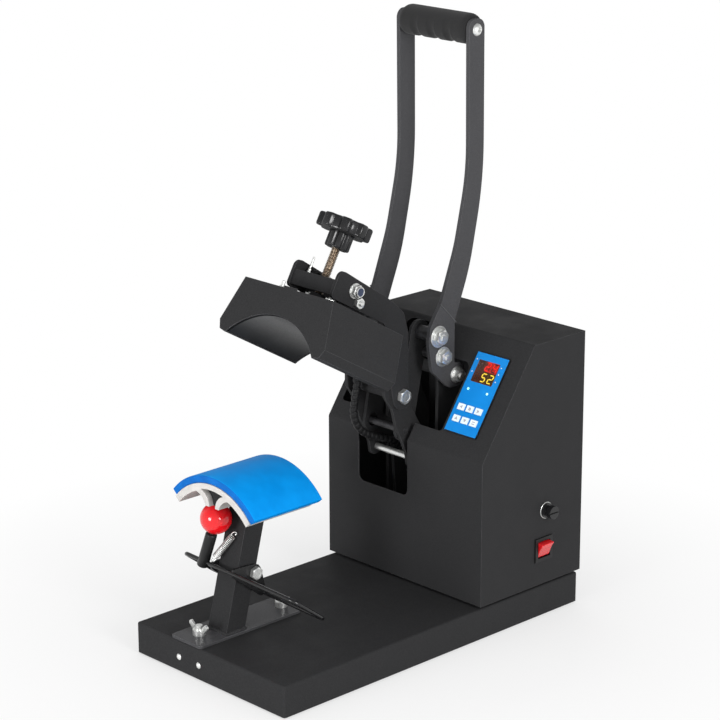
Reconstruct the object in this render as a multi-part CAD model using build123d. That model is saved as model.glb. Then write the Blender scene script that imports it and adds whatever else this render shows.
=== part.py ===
from build123d import *
from math import atan2, cos, degrees, hypot, pi, radians, sin, sqrt, tan
import os

# Cap heat press: a heated arched head on a hinged arm closes on a padded saddle
# when the upright handle is pulled forward. Millimetres. X points right seen
# from the front, Y back, Z up. Every piece is modelled with X = 0 on the middle
# of the base, Y = 0 at its front face and Z = 0 at the lower edge of its pan,
# and is moved to the middle of the whole footprint when it is written.

# ---- base ----
BASE_W = 240.0
BASE_D = 455.0
BASE_H = 35.8
SHEET = 1.6
PAN_CORNER_R = 2.5
FOOT_R = 9.0
FOOT_STAND_OFF = 2.0
FOOT_INSET = 22.0
FRONT_SCREW_SPACING = 32.4
COVER_SCREW_R = 3.6
COVER_SCREW_H = 1.6

# ---- housing ----
HOUSING_W = 244.0
HOUSING_FRONT = 292.0
HOUSING_REAR = 457.0
HOUSING_GAP = 3.5
FOLD_Z = 206.0
TOP_Z = 325.0
TOP_FRONT = 374.0
HOUSING_BEND_R = 3.0
PANEL_FIT = 0.3
INLET_X = 60.0
INLET_Z = 90.0
INLET_W = 27.0
INLET_H = 20.0
INLET_RIM = 5.0
INLET_FLANGE_T = 3.0
INLET_DEPTH = 22.0
INLET_WALL = 3.0
VENT_COUNT = 7
VENT_PITCH = 11.0
VENT_L = 90.0
VENT_W = 4.0
RELAY_W = 45.0
RELAY_D = 62.0
RELAY_H = 24.0
RELAY_INSET = 15.0
RELAY_SETBACK = 38.0

# ---- mechanism ----
MECH_X = -33.0
SLOT_HALF_W = 39.5
SLOT_BOTTOM = 140.0
SLOT_TOP_U = 138.5
SLOT_CORNER_R = 15.0
WINDOW_HALF_W = 80.0
WINDOW_LOW_U = 22.0
WINDOW_HIGH_U = 106.0
CHEEK_T = 4.0
CHEEK_INNER = 38.0
CHEEK_FRONT = 338.0
CHEEK_REAR = 404.0
CHEEK_FOOT_W = 22.0
ARM_OUTER = 36.0
PLATE_T = 4.0
LINK_GAP = 1.0
RUNNING_FIT = 0.05
SIDE_PLAY = 0.2
SHAFT_R = 8.0
SHAFT_NUT_FLATS = 24.0
SHAFT_NUT_T = 8.0
HUB_R = 13.0
SPACER_R = 7.0
KNEE_RELIEF = 1.5
KNEE_HEAD_FLATS = 14.0
KNEE_HEAD_T = 5.5
TIE_R = 4.0
LINK_PIN_R = 4.0
BOLT_R = 4.0
BOLT_HEAD_T = 5.3
NUT_FLATS = 13.0
NUT_T = 6.5
NUT_COLLAR_R = 5.2
NUT_COLLAR_T = 3.0
WASHER_T = 2.0

# ---- pivots in the side plane (Y, Z) ----
ARM_PIVOT = (367.0, 90.0)
HANDLE_PIVOT = (352.7, 274.8)
CRANK_PIN = (323.5, 324.6)
STOP_PIN = (330.4, 300.0)
LINK_PIN = (296.4, 215.0)
KNEE_BOLT = (288.0, 258.7)
TIE_ROD = (310.5, 179.0)
LINK_EYE_OFFSET = (3.18, -0.16)
LINK_EYE_DRIFT = 3.6

# ---- head ----
HEAD_TILT = 29.9
HEAD_FRONT_TOP = (151.6, 402.3)
HEAD_D = 119.0
HEAD_TOP_W = 139.5
HEAD_FLARE = 14.0
HEAD_FLARE_H = 52.3
HEAD_SKIRT_H = 10.0
HEAD_SKIRT_IN = 5.0
HEAD_LIP_H = 2.0
HEAD_LIP_IN = 9.0
HEAD_SHEET = 1.5
ARCH_DROP = 120.6
PLATEN_R = 88.5
PLATEN_T = 9.0
PLATEN_HALF_ANGLE = 49.0
PLATEN_INSET = 2.0
ARCH_R = 89.2
RAIL_HALF_W = 16.0
RAIL_INSET = 10.0
RAIL_T = 6.0
BLANKET_HALF_W = 55.0

# ---- the bracket that hangs the head, and the arm's channel over it ----
HANGER_B = 58.9
HANGER_H = 24.8
HANGER_HEAD_R = 6.0
EAR_GAP = 4.0
EAR_T = 3.0
EAR_HALF_W = 9.0
EAR_RISE = 15.0
SLIDE_TRAVEL = 4.5
BRACKET_T = 3.0
BRACKET_FRONT = 16.0
BRACKET_REAR = 14.0
CLAMP_STUD_X = 16.0
CLAMP_STUD_R = 3.0
CLAMP_STUD_H = 6.0
CLAMP_NUT_FLATS = 10.0
CLAMP_NUT_T = 4.5
CHANNEL_FRONT = 30.0
CHANNEL_REAR = 61.0
CHANNEL_TOP = 27.0
CHANNEL_T = 3.0
CHANNEL_APRON = 17.0
BOSS_R = 9.0
BOSS_H = 12.0

# ---- pressure screw ----
SCREW_B = 45.0
SCREW_R = 5.0
KNOB_R = 31.5
KNOB_LOBES = 8
KNOB_LOBE_R = 6.0
KNOB_SCALLOP_R = 5.0
KNOB_H = 80.0
KNOB_T = 17.0
KNOB_HUB_R = 14.0
KNOB_HUB_L = 18.0
KNOB_FLUTE_R = 2.0

# ---- handle ----
BAR_CENTRE = 53.5
BAR_T = 5.0
GRIP_CENTRE = (381.0, 660.0)
GRIP_TUBE_R = 11.0
GRIP_R = 17.0
GRIP_GAP = 1.0
GRIP_CREASES = 3
GRIP_CREASE_PITCH = 25.0
GRIP_CREASE_R = 5.0
GRIP_CREASE_DEPTH = 2.0
GRIP_SCREW_R = 7.0
GRIP_SCREW_H = 4.0
GRIP_SOCKET_FLATS = 5.0
AXLE_TUBE_R = 7.0
CRANK_PIN_R = 8.0
STOP_PIN_R = 5.5
LINK_END_R = 13.5

# ---- stand ----
STAND_PLATE_W = 49.0
STAND_PLATE_D = 147.0
STAND_PLATE_T = 3.0
STAND_PLATE_X = -37.5
POST_W = 30.0
POST_DEPTH = 26.0
POST_FRONT = 41.0
POST_LEAN = 14.4
SADDLE_R = 88.0
SADDLE_Z = 128.0
SADDLE_FRONT = 37.5
SADDLE_REAR = 129.5
SADDLE_HALF_ANGLE = 49.3
PAD_T = 8.5
CASTING_T = 8.0
STEM_FOOT_Z = 182.0
STEM_OUTSIDE = (10.5, 15.5, 29.0)
STEM_HOLLOW = (5.0, 8.4, 18.3)
STEM_MID_RISE = 7.7
HOLLOW_MID_RISE = 10.0
STEM_TONGUE = (4.6, 8.0, 16.0)
TONGUE_INSET = 6.0
CAP_T = 4.0
CAP_LIP = 4.0
STUD_R = 4.0
STUD_FIT = 0.1
STUD_HEIGHT = 14.0
STUD_HEAD_R = 7.0
STUD_HEAD_T = 4.0
STUD_SPOTS = ((-39.7, 21.2), (-36.5, 138.0))

# ---- hold-down ----
BAIL_PIVOT = (80.0, 101.5)
BAIL_FRONT = (50.0, 108.0)
BAIL_REAR = (95.0, 74.0)
BAIL_LEFT = -97.0
BAIL_RIGHT = 75.0
WIRE_R = 3.0
LEVER_FOOT_X = -64.0
BALL_CENTRE = (-45.0, 53.0, 163.0)
BALL_R = 17.5
SLEEVE_R = 6.5
SLEEVE_L = 26.0
STEM_R = 3.5
STEM_GRIP = 10.0
LUG_T = 3.0
LUG_GAP = 0.4
SPRING_LOW = (-49.0, 50.0, 114.0)
SPRING_HIGH = (-27.0, 64.5, 148.0)
SPRING_R = 4.0
SPRING_WIRE_R = 0.8
SPRING_HOOK = 6.0

# ---- controls ----
PANEL_W = 48.0
PANEL_H = 96.0
PANEL_X = 51.4
PANEL_LOW_U = 24.8
PANEL_T = 2.5
PANEL_BEZEL = 6.0
PANEL_CUTOUT_PLAY = 1.0
CASE_D = 40.0
DISPLAY_SIZE = (34.0, 25.0)
DISPLAY_SPOT = (24.0, 76.0)
DISPLAY_SEAT = 0.8
KEY_SIZE = (10.0, 7.5)
KEY_COLUMNS = (11.0, 24.0, 37.0)
KEY_ROWS = (16.0, 30.0)
KEY_RISE = 1.2
KEY_FIT = 0.3
ROCKER_Y = 393.0
ROCKER_Z = 82.0
ROCKER_SIZE = 28.0
ROCKER_PIN_R = 1.5
ROCKER_PIN_L = 1.2
ROCKER_RIM_W = 4.0
ROCKER_RIM_T = 2.2
ROCKER_CUTOUT = 23.5
FUSE_Y = 397.0
FUSE_Z = 127.0
FUSE_R = 6.5
FUSE_WASHER_R = 9.0
FUSE_WASHER_T = 1.5
FUSE_NECK = 7.0
FUSE_CAP_R = 7.5
FUSE_REACH = 13.0
FUSE_SLOT_W = 1.8
SWITCH_DEPTH = 20.0
FUSE_DEPTH = 22.0

# ---- heater cable: its radius and the corners of its route ----
CABLE_R = 4.5
CABLE_ROUTE = [
    (-50, 234, 302),
    (-50, 259, 291),
    (-50, 270, 270),
    (-50, 265, 248),
    (-50, 262, 229),
    (-49, 271, 210),
    (-48, 291, 198),
    (-46, 316, 191),
    (-45, 338, 176),
    (-44, 348, 150),
    (-44, 350, 122),
]

LEAN = radians(POST_LEAN)
TILT = radians(HEAD_TILT)
SLANT = atan2(TOP_FRONT - HOUSING_FRONT, TOP_Z - FOLD_Z)
EAR_X = ARM_OUTER - PLATE_T - EAR_GAP
UPRIGHT = (Align.CENTER, Align.CENTER, Align.MIN)


# ---- helpers ----
def outline(corners):
    """A closed face from (x, y, radius) corners, each rounded by a tangent arc."""
    count = len(corners)
    spans = []
    for index, (x, y, radius) in enumerate(corners):
        before = corners[index - 1]
        after = corners[(index + 1) % count]
        back = Vector(before[0] - x, before[1] - y).normalized()
        ahead = Vector(after[0] - x, after[1] - y).normalized()
        half = radians(back.get_angle(ahead)) / 2
        corner = Vector(x, y)
        bisector = (back + ahead).normalized()
        reach = radius / tan(half)
        middle = corner + bisector * (radius / sin(half) - radius)
        spans.append((corner + back * reach, middle, corner + ahead * reach, radius))
    edges = []
    for index, (start, middle, end, radius) in enumerate(spans):
        following = spans[(index + 1) % count][0]
        if radius > 0:
            edges.append(ThreePointArc(start, middle, end))
        if (following - end).length > 0.001:
            edges.append(Line(end, following))
    return make_face(edges)


def side_plate(corners, x_low, thickness):
    """A flat plate in the side plane, from x_low to x_low + thickness."""
    return extrude(Plane.YZ.offset(x_low) * outline(corners), amount=thickness)


def front_plate(corners, y_low, length):
    """A prism whose section is drawn in X and Z, running back from y_low."""
    plane = Plane(origin=(0, y_low, 0), x_dir=(1, 0, 0), z_dir=(0, -1, 0))
    return extrude(plane * outline(corners), amount=-length)


def rod(start, end, radius):
    """A round bar between two points."""
    start = Vector(start)
    axis = Vector(end) - start
    return Plane(origin=start, z_dir=axis) * Cylinder(radius, axis.length, align=UPRIGHT)


def cross_rod(point, x_low, x_high, radius):
    """A round bar along X through a point of the side plane."""
    return rod((x_low, *point), (x_high, *point), radius)


def hexagon(centre, axis, across_flats, height):
    """A hexagonal head or nut that starts at a point and runs along an axis."""
    base = Plane(origin=centre, z_dir=axis)
    return extrude(base * RegularPolygon(across_flats / 2, 6, major_radius=False), amount=height)


def block(low, high):
    """A box between two opposite corners."""
    size = Vector(high) - Vector(low)
    return Pos(*low) * Box(size.X, size.Y, size.Z, align=(Align.MIN, Align.MIN, Align.MIN))


def mirrored(shape):
    """The twin of a piece on the other side of the mechanism's middle plane."""
    return mirror(shape, about=Plane.YZ.offset(MECH_X))


def both_sides(shape):
    """A piece and its mirror twin, kept as two separate solids."""
    return Compound(children=[shape, mirrored(shape)])


def head_point(depth, height):
    """Side-plane point at a depth and height over the head's front top edge."""
    y = HEAD_FRONT_TOP[0] + depth * cos(TILT) + height * sin(TILT)
    z = HEAD_FRONT_TOP[1] - depth * sin(TILT) + height * cos(TILT)
    return (y, z)


HEAD = Plane(origin=(MECH_X, *HEAD_FRONT_TOP), x_dir=(1, 0, 0), z_dir=(0, sin(TILT), cos(TILT)))
SLOPE = Plane(origin=(0, HOUSING_FRONT, FOLD_Z), x_dir=(1, 0, 0), z_dir=(0, -cos(SLANT), sin(SLANT)))


# ---- base ----
def base_pan():
    """Folded tray of sheet steel, open below, with an inward lip for the feet."""
    outer = block((-BASE_W / 2, 0, 0), (BASE_W / 2, BASE_D, BASE_H))
    outer = fillet(outer.edges().filter_by(Axis.Z) + outer.faces().sort_by(Axis.Z)[-1].edges(), PAN_CORNER_R)
    inner = block((-BASE_W / 2 + SHEET, SHEET, SHEET), (BASE_W / 2 - SHEET, BASE_D - SHEET, BASE_H - SHEET))
    lip = 2 * FOOT_INSET
    mouth = block((-BASE_W / 2 + lip, lip, 0), (BASE_W / 2 - lip, BASE_D - lip, SHEET))
    pan = outer - inner - mouth
    for x, y in STUD_SPOTS:
        pan -= rod((x, y, BASE_H - SHEET - 1), (x, y, BASE_H + 1), STUD_R + STUD_FIT)
    return pan


def base_feet():
    """Four rubber buttons under the corners of the tray."""
    feet = []
    for x in (-BASE_W / 2 + FOOT_INSET, BASE_W / 2 - FOOT_INSET):
        for y in (FOOT_INSET, BASE_D - FOOT_INSET):
            feet.append(rod((x, y, -FOOT_STAND_OFF), (x, y, 0), FOOT_R))
    return Compound(children=feet)


def dome_screw(point, axis, radius, height):
    """A low domed screw head that sits on a face."""
    sphere_r = (radius ** 2 + height ** 2) / (2 * height)
    place = Plane(origin=point, z_dir=axis)
    cap = Pos(0, 0, height - sphere_r) * Sphere(sphere_r)
    keep = Cylinder(radius, height, align=UPRIGHT)
    return place * (cap & keep)


def cover_screws():
    """Domed screws in the tray's front face and in the housing's sides and rear."""
    screws = []
    for offset in (-FRONT_SCREW_SPACING / 2, FRONT_SCREW_SPACING / 2):
        spot = (MECH_X + offset, 0, BASE_H * 0.45)
        screws.append(dome_screw(spot, (0, -1, 0), COVER_SCREW_R, COVER_SCREW_H))
    for x in (-HOUSING_W * 0.42, HOUSING_W * 0.42):
        for z in (BASE_H + 20, TOP_Z - 16):
            screws.append(dome_screw((x, HOUSING_REAR, z), (0, 1, 0), COVER_SCREW_R, COVER_SCREW_H))
    return Compound(children=screws)


# ---- housing ----
def housing_profile(inset):
    """Side view of the housing, pulled in by a wall on its front, slope and top."""
    low = BASE_H + HOUSING_GAP
    fold_shift = inset * tan(SLANT / 2)
    top_shift = inset * tan((pi / 2 - SLANT) / 2)
    return [
        (HOUSING_FRONT + inset, low, 0),
        (HOUSING_FRONT + inset, FOLD_Z - fold_shift, 0),
        (TOP_FRONT + top_shift, TOP_Z - inset, 0),
        (HOUSING_REAR, TOP_Z - inset, 0),
        (HOUSING_REAR, low, 0),
    ]


def slope_opening():
    """The cut-out in the front and slope: a middle slot and a window each side."""
    depth = 60.0
    slot = outline([
        (MECH_X - SLOT_HALF_W, -10, 0),
        (MECH_X + SLOT_HALF_W, -10, 0),
        (MECH_X + SLOT_HALF_W, SLOT_TOP_U, SLOT_CORNER_R),
        (MECH_X - SLOT_HALF_W, SLOT_TOP_U, SLOT_CORNER_R),
    ])
    window = outline([
        (MECH_X - WINDOW_HALF_W, WINDOW_LOW_U, 4),
        (MECH_X + WINDOW_HALF_W, WINDOW_LOW_U, 4),
        (MECH_X + WINDOW_HALF_W, WINDOW_HIGH_U, 10),
        (MECH_X - WINDOW_HALF_W, WINDOW_HIGH_U, 10),
    ])
    upper = extrude(SLOPE * slot, amount=depth, both=True) + extrude(SLOPE * window, amount=depth, both=True)
    upper = upper & block((-HOUSING_W, 0, FOLD_Z - 20), (HOUSING_W, HOUSING_REAR - 40, TOP_Z - 5))
    lower = front_plate([
        (MECH_X - SLOT_HALF_W, SLOT_BOTTOM, 8),
        (MECH_X + SLOT_HALF_W, SLOT_BOTTOM, 8),
        (MECH_X + SLOT_HALF_W, FOLD_Z + 20, 0),
        (MECH_X - SLOT_HALF_W, FOLD_Z + 20, 0),
    ], HOUSING_FRONT - 5, 20)
    return upper + lower


def panel_pocket():
    """The cut-out in the slope behind the controller's face plate."""
    margin = PANEL_BEZEL - PANEL_CUTOUT_PLAY
    middle = Pos(PANEL_X + PANEL_W / 2, PANEL_LOW_U + PANEL_H / 2)
    face = middle * Rectangle(PANEL_W - 2 * margin, PANEL_H - 2 * margin)
    return extrude(SLOPE * face, amount=8, both=True)


def housing_shell():
    """Folded cover: front, slope, top and two sides, open at the rear and below."""
    outer = side_plate(housing_profile(0), -HOUSING_W / 2, HOUSING_W)
    long_edges = outer.edges().filter_by(Axis.X).sort_by(Axis.Y)
    outer = fillet(long_edges[1:3], HOUSING_BEND_R)
    inner = side_plate(housing_profile(SHEET), -HOUSING_W / 2 + SHEET, HOUSING_W - 2 * SHEET)
    right_wall = HOUSING_W / 2
    half = ROCKER_CUTOUT / 2
    rocker_hole = block(
        (right_wall - 5, ROCKER_Y - half, ROCKER_Z - half),
        (right_wall + 5, ROCKER_Y + half, ROCKER_Z + half),
    )
    fuse_hole = cross_rod((FUSE_Y, FUSE_Z), right_wall - 5, right_wall + 5, FUSE_R)
    return outer - inner - slope_opening() - panel_pocket() - rocker_hole - fuse_hole


def rear_panel():
    """Flat rear panel inside the cover, with vent slots and the inlet's cut-out."""
    low = BASE_H + HOUSING_GAP
    half = HOUSING_W / 2 - SHEET - PANEL_FIT
    panel = block((-half, HOUSING_REAR - SHEET, low), (half, HOUSING_REAR, TOP_Z - SHEET - PANEL_FIT))
    for index in range(VENT_COUNT):
        z = TOP_Z - 60 - index * VENT_PITCH
        slot = extrude(SlotOverall(VENT_L, VENT_W), amount=3 * SHEET, both=True)
        panel -= Pos(0, HOUSING_REAR, z) * Rot(90, 0, 0) * slot
    panel -= block(
        (INLET_X - INLET_W / 2, HOUSING_REAR - 5, INLET_Z - INLET_H / 2),
        (INLET_X + INLET_W / 2, HOUSING_REAR + 5, INLET_Z + INLET_H / 2),
    )
    return panel


def power_inlet():
    """Appliance inlet: flange, body and a recess with three contact blades."""
    rear = HOUSING_REAR
    floor = rear - INLET_DEPTH + 2 * INLET_WALL

    def layer(margin_x, margin_z, front, back):
        """A box about the inlet's middle, larger than its cut-out by the margins."""
        half_x = INLET_W / 2 + margin_x
        half_z = INLET_H / 2 + margin_z
        return block((INLET_X - half_x, front, INLET_Z - half_z), (INLET_X + half_x, back, INLET_Z + half_z))

    inlet = layer(INLET_RIM, INLET_RIM / 2, rear, rear + INLET_FLANGE_T)
    inlet += layer(-PANEL_FIT, -PANEL_FIT, rear - INLET_DEPTH, rear)
    inlet -= layer(-INLET_WALL, -INLET_WALL, floor, rear + INLET_FLANGE_T + 1)
    for x, z in ((-7, -1.5), (0, 2), (7, -1.5)):
        low = (INLET_X + x - 1, floor - 1, INLET_Z + z - 2)
        high = (INLET_X + x + 1, rear - 3, INLET_Z + z + 2)
        inlet += block(low, high)
    return inlet


# ---- inner frame ----
def frame_cheeks():
    """Two upright plates with turned-out feet that carry both pivots."""
    floor = BASE_H
    lobe = AXLE_TUBE_R + 6
    inner = MECH_X + CHEEK_INNER
    pivot_y, pivot_z = HANDLE_PIVOT
    cheek = side_plate([
        (CHEEK_FRONT, floor, 0),
        (CHEEK_FRONT, pivot_z + lobe, lobe),
        (pivot_y + lobe, pivot_z + lobe, lobe),
        (CHEEK_REAR, pivot_z - 70, 20),
        (CHEEK_REAR, floor, 0),
    ], inner, CHEEK_T)
    foot = block((inner, CHEEK_FRONT, floor), (inner + CHEEK_FOOT_W, CHEEK_REAR, floor + CHEEK_T))
    cheek += foot
    cheek -= cross_rod(HANDLE_PIVOT, inner - 1, inner + CHEEK_T + 1, AXLE_TUBE_R + RUNNING_FIT)
    cheek -= cross_rod(ARM_PIVOT, inner - 1, inner + CHEEK_T + 1, SHAFT_R)
    return both_sides(cheek)


def frame_bolts():
    """Hex bolts through the cheeks' feet and hex nuts on the arm shaft."""
    pieces = []
    outer = CHEEK_INNER + CHEEK_T
    for y in (CHEEK_FRONT + 14, CHEEK_REAR - 14):
        for side in (-1, 1):
            x = MECH_X + side * (outer + 9)
            pieces.append(hexagon((x, y, BASE_H + CHEEK_T), (0, 0, 1), NUT_FLATS, BOLT_HEAD_T))
    for side in (-1, 1):
        start = (MECH_X + side * outer, *ARM_PIVOT)
        nut = hexagon(start, (side, 0, 0), SHAFT_NUT_FLATS, SHAFT_NUT_T)
        pieces.append(nut - rod(start, (MECH_X + side * (outer + SHAFT_NUT_T + 1), *ARM_PIVOT), SHAFT_R))
    return Compound(children=pieces)


def arm_shaft():
    """Fixed shaft across the cheeks that the arm's hub turns on."""
    reach = CHEEK_INNER + CHEEK_T + SHAFT_NUT_T + 2
    return cross_rod(ARM_PIVOT, MECH_X - reach, MECH_X + reach, SHAFT_R)


def relay_block():
    """Heater relay standing on the base inside the housing."""
    side = BASE_W / 2 - RELAY_INSET
    front = HOUSING_FRONT + RELAY_SETBACK
    return block((side - RELAY_W, front, BASE_H), (side, front + RELAY_D, BASE_H + RELAY_H))


# ---- arm ----
UPPER_PLATE = [
    (*head_point(28, 7), 5),
    (*head_point(28, 39), 8),
    (*head_point(118, 33.5), 60),
    (*head_point(143, 28), 10),
    (296.4, 331, 6),
    (296.4, 268, 12),
    (303, 256, 8),
    (299, 244, 11),
    (277, 244, 12),
    (272, 262, 10),
    (264.5, 320, 30),
    (*head_point(122, 7), 6),
]
LOWER_PLATE = [
    (263.7, 296, 5),
    (263.7, 262, 12),
    (276.5, 243, 10),
    (281.5, 224, 30),
    (298.5, 187, 14),
    (301, 169, 7),
    (318, 172, 20),
    (335, 184, 6),
    (338, 150, 40),
    (345, 66, 18),
    (390, 66, 20),
    (387, 110, 30),
    (368, 190, 24),
    (322, 214, 24),
    (306, 240, 14),
    (294, 296, 5),
]
HANGER = head_point(HANGER_B, HANGER_H)
ARM_X = MECH_X + ARM_OUTER
INNER_X = ARM_X - PLATE_T


def right_arm_plate():
    """Upper arm plate: an elbow from over the head down to the knee bolt."""
    plate = side_plate(UPPER_PLATE, INNER_X, PLATE_T)
    plate -= cross_rod(KNEE_BOLT, INNER_X - 1, ARM_X + 1, BOLT_R)
    plate -= cross_rod(HANGER, INNER_X - 1, ARM_X + 1, BOLT_R)
    return plate


def lower_arm_plates():
    """Lower arm plates, inside the upper ones, from the knee bolt to the shaft."""
    low = INNER_X - PLATE_T
    plate = side_plate(LOWER_PLATE, low, PLATE_T)
    holes = (
        (KNEE_BOLT, BOLT_R),
        (LINK_PIN, LINK_PIN_R),
        (TIE_ROD, TIE_R),
        (ARM_PIVOT, SHAFT_R + RUNNING_FIT),
    )
    for point, radius in holes:
        plate -= cross_rod(point, low - 1, INNER_X + 1, radius)
    return both_sides(plate)


def arm_spacers():
    """Round spacers between the lower plates: one on the shaft, one at the knee."""
    half = ARM_OUTER - 2 * PLATE_T
    hub = cross_rod(ARM_PIVOT, MECH_X - half, MECH_X + half, HUB_R)
    hub -= cross_rod(ARM_PIVOT, MECH_X - half - 1, MECH_X + half + 1, SHAFT_R + RUNNING_FIT)
    knee = cross_rod(KNEE_BOLT, MECH_X - half, MECH_X + half, SPACER_R)
    knee -= cross_rod(KNEE_BOLT, MECH_X - half - 1, MECH_X + half + 1, BOLT_R)
    return Compound(children=[hub, knee])


def arm_bolts():
    """The knee bolt with its head and nut, and the two bolts that hang the head."""
    knee = cross_rod(KNEE_BOLT, MECH_X - ARM_OUTER, ARM_X, BOLT_R)
    knee += hexagon((ARM_X, *KNEE_BOLT), (1, 0, 0), KNEE_HEAD_FLATS, KNEE_HEAD_T)
    knee += hexagon((MECH_X - ARM_OUTER, *KNEE_BOLT), (-1, 0, 0), KNEE_HEAD_FLATS, NUT_T)
    inner = MECH_X + EAR_X - EAR_T - SIDE_PLAY
    hanger = cross_rod(HANGER, inner, ARM_X, BOLT_R)
    hanger += hexagon((ARM_X, *HANGER), (1, 0, 0), NUT_FLATS, NUT_T)
    hanger += cross_rod(HANGER, ARM_X + NUT_T, ARM_X + NUT_T + NUT_COLLAR_T, NUT_COLLAR_R)
    hanger += cross_rod(HANGER, inner - WASHER_T, inner, HANGER_HEAD_R)
    return Compound(children=[knee, hanger, mirrored(hanger)])


def arm_cross_pins():
    """The bright tie rod and the pin that the drive links push on."""
    half = ARM_OUTER - PLATE_T
    tie = cross_rod(TIE_ROD, MECH_X - half, MECH_X + half, TIE_R)
    pin = cross_rod(LINK_PIN, MECH_X - half, MECH_X + half, LINK_PIN_R)
    return Compound(children=[tie, pin])


def cross_channel():
    """Folded channel between the arm's front ends, with the screw's threaded boss."""
    half = ARM_OUTER - PLATE_T
    notch_x = EAR_X - EAR_T - SIDE_PLAY - WASHER_T - 0.8
    notch_b = SCREW_B + 3
    web = block((-half, CHANNEL_FRONT, CHANNEL_TOP - CHANNEL_T), (half, CHANNEL_REAR, CHANNEL_TOP))
    apron_low = CHANNEL_TOP - CHANNEL_APRON
    web += block((-half, CHANNEL_FRONT, apron_low), (half, CHANNEL_FRONT + CHANNEL_T, CHANNEL_TOP))
    for side in (-1, 1):
        edge = sorted((side * notch_x, side * (half + 1)))
        web -= block((edge[0], notch_b, 0), (edge[1], CHANNEL_REAR + 1, CHANNEL_TOP + 1))
    web += rod((0, SCREW_B, CHANNEL_TOP - BOSS_H), (0, SCREW_B, CHANNEL_TOP), BOSS_R)
    web -= rod((0, SCREW_B, 0), (0, SCREW_B, CHANNEL_TOP + 1), SCREW_R + RUNNING_FIT)
    return HEAD * web


def heater_cable():
    """Sleeved heater cable from behind the head down between the arm plates."""
    points = [Vector(*point) for point in CABLE_ROUTE]
    radii = []
    for before, here, after in zip(points, points[1:], points[2:]):
        turn = radians((here - before).get_angle(after - here))
        shorter = min((here - before).length, (after - here).length)
        radii.append(0.45 * shorter / tan(turn / 2))
    path = FilletPolyline(*points, radius=radii)
    section = Plane(origin=path @ 0, z_dir=path % 0) * Circle(CABLE_R)
    return sweep(section, path=path)


# ---- head ----
def head_section(inset):
    """Front view of the head's cover over its full width, from the top down."""
    top = HEAD_TOP_W / 2 - inset
    wide = HEAD_TOP_W / 2 + HEAD_FLARE - inset
    skirt = wide - HEAD_SKIRT_IN
    lip = skirt - HEAD_LIP_IN
    flare_z = -HEAD_FLARE_H
    skirt_z = flare_z - HEAD_SKIRT_H
    lip_z = skirt_z - HEAD_LIP_H + inset
    right = [(top, -inset), (wide, flare_z), (skirt, skirt_z), (lip, lip_z)]
    left = [(-x, z) for x, z in reversed(right)]
    return right + left


def head_prism(inset, front, rear):
    """The head's section run through its depth."""
    section = Plane(origin=(0, front, 0), x_dir=(1, 0, 0), z_dir=(0, -1, 0))
    return extrude(section * make_face(Polyline(*head_section(inset), close=True)), amount=front - rear)


def arch(radius, front, rear):
    """A cylinder along the head's depth, centred on its arch."""
    return rod((0, front, -ARCH_DROP), (0, rear, -ARCH_DROP), radius)


def head_cover():
    """Folded sheet cover with flared sides and an arch cut through front and rear."""
    outer = head_prism(0, 0, HEAD_D)
    inner = head_prism(HEAD_SHEET, HEAD_SHEET, HEAD_D - HEAD_SHEET)
    cover = outer - inner - arch(ARCH_R, -1, HEAD_D + 1)
    tab = block((-8, 0, 0), (12, HEAD_SHEET, 2.2))
    return HEAD * (cover + tab)


def platen_sector(outer_r, front, rear):
    """The part of a cylinder that lies within the platen's angle."""
    half = radians(PLATEN_HALF_ANGLE)
    reach = outer_r * 1.6
    left = (-reach * sin(half), reach * cos(half))
    right = (reach * sin(half), reach * cos(half))
    wedge = make_face(Polyline((0, 0), left, right, close=True))
    plane = Plane(origin=(0, front, -ARCH_DROP), x_dir=(1, 0, 0), z_dir=(0, -1, 0))
    return arch(outer_r, front, rear) & extrude(plane * wedge, amount=front - rear)


def heater_platen():
    """Curved heating plate inside the arch, with a terminal rail on its back."""
    front = HEAD_SHEET + PLATEN_INSET
    rear = HEAD_D - HEAD_SHEET - PLATEN_INSET
    outer_r = PLATEN_R + PLATEN_T
    plate = platen_sector(outer_r, front, rear) - arch(PLATEN_R, front - 1, rear + 1)
    crown = -ARCH_DROP + outer_r
    low = (-RAIL_HALF_W, front + RAIL_INSET, crown - 1)
    high = (RAIL_HALF_W, rear - RAIL_INSET, crown + RAIL_T)
    rail = block(low, high)
    return HEAD * (plate + rail)


def insulation_block():
    """Fibre blanket between the heating plate and the cover's top."""
    front = HEAD_SHEET + 2 * PLATEN_INSET
    rear = HEAD_D - front
    top_gap = HEAD_SHEET + 1.0
    crown = -ARCH_DROP + PLATEN_R + PLATEN_T + RAIL_T + 0.5
    return HEAD * block((-BLANKET_HALF_W, front, crown), (BLANKET_HALF_W, rear, -top_gap))


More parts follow.
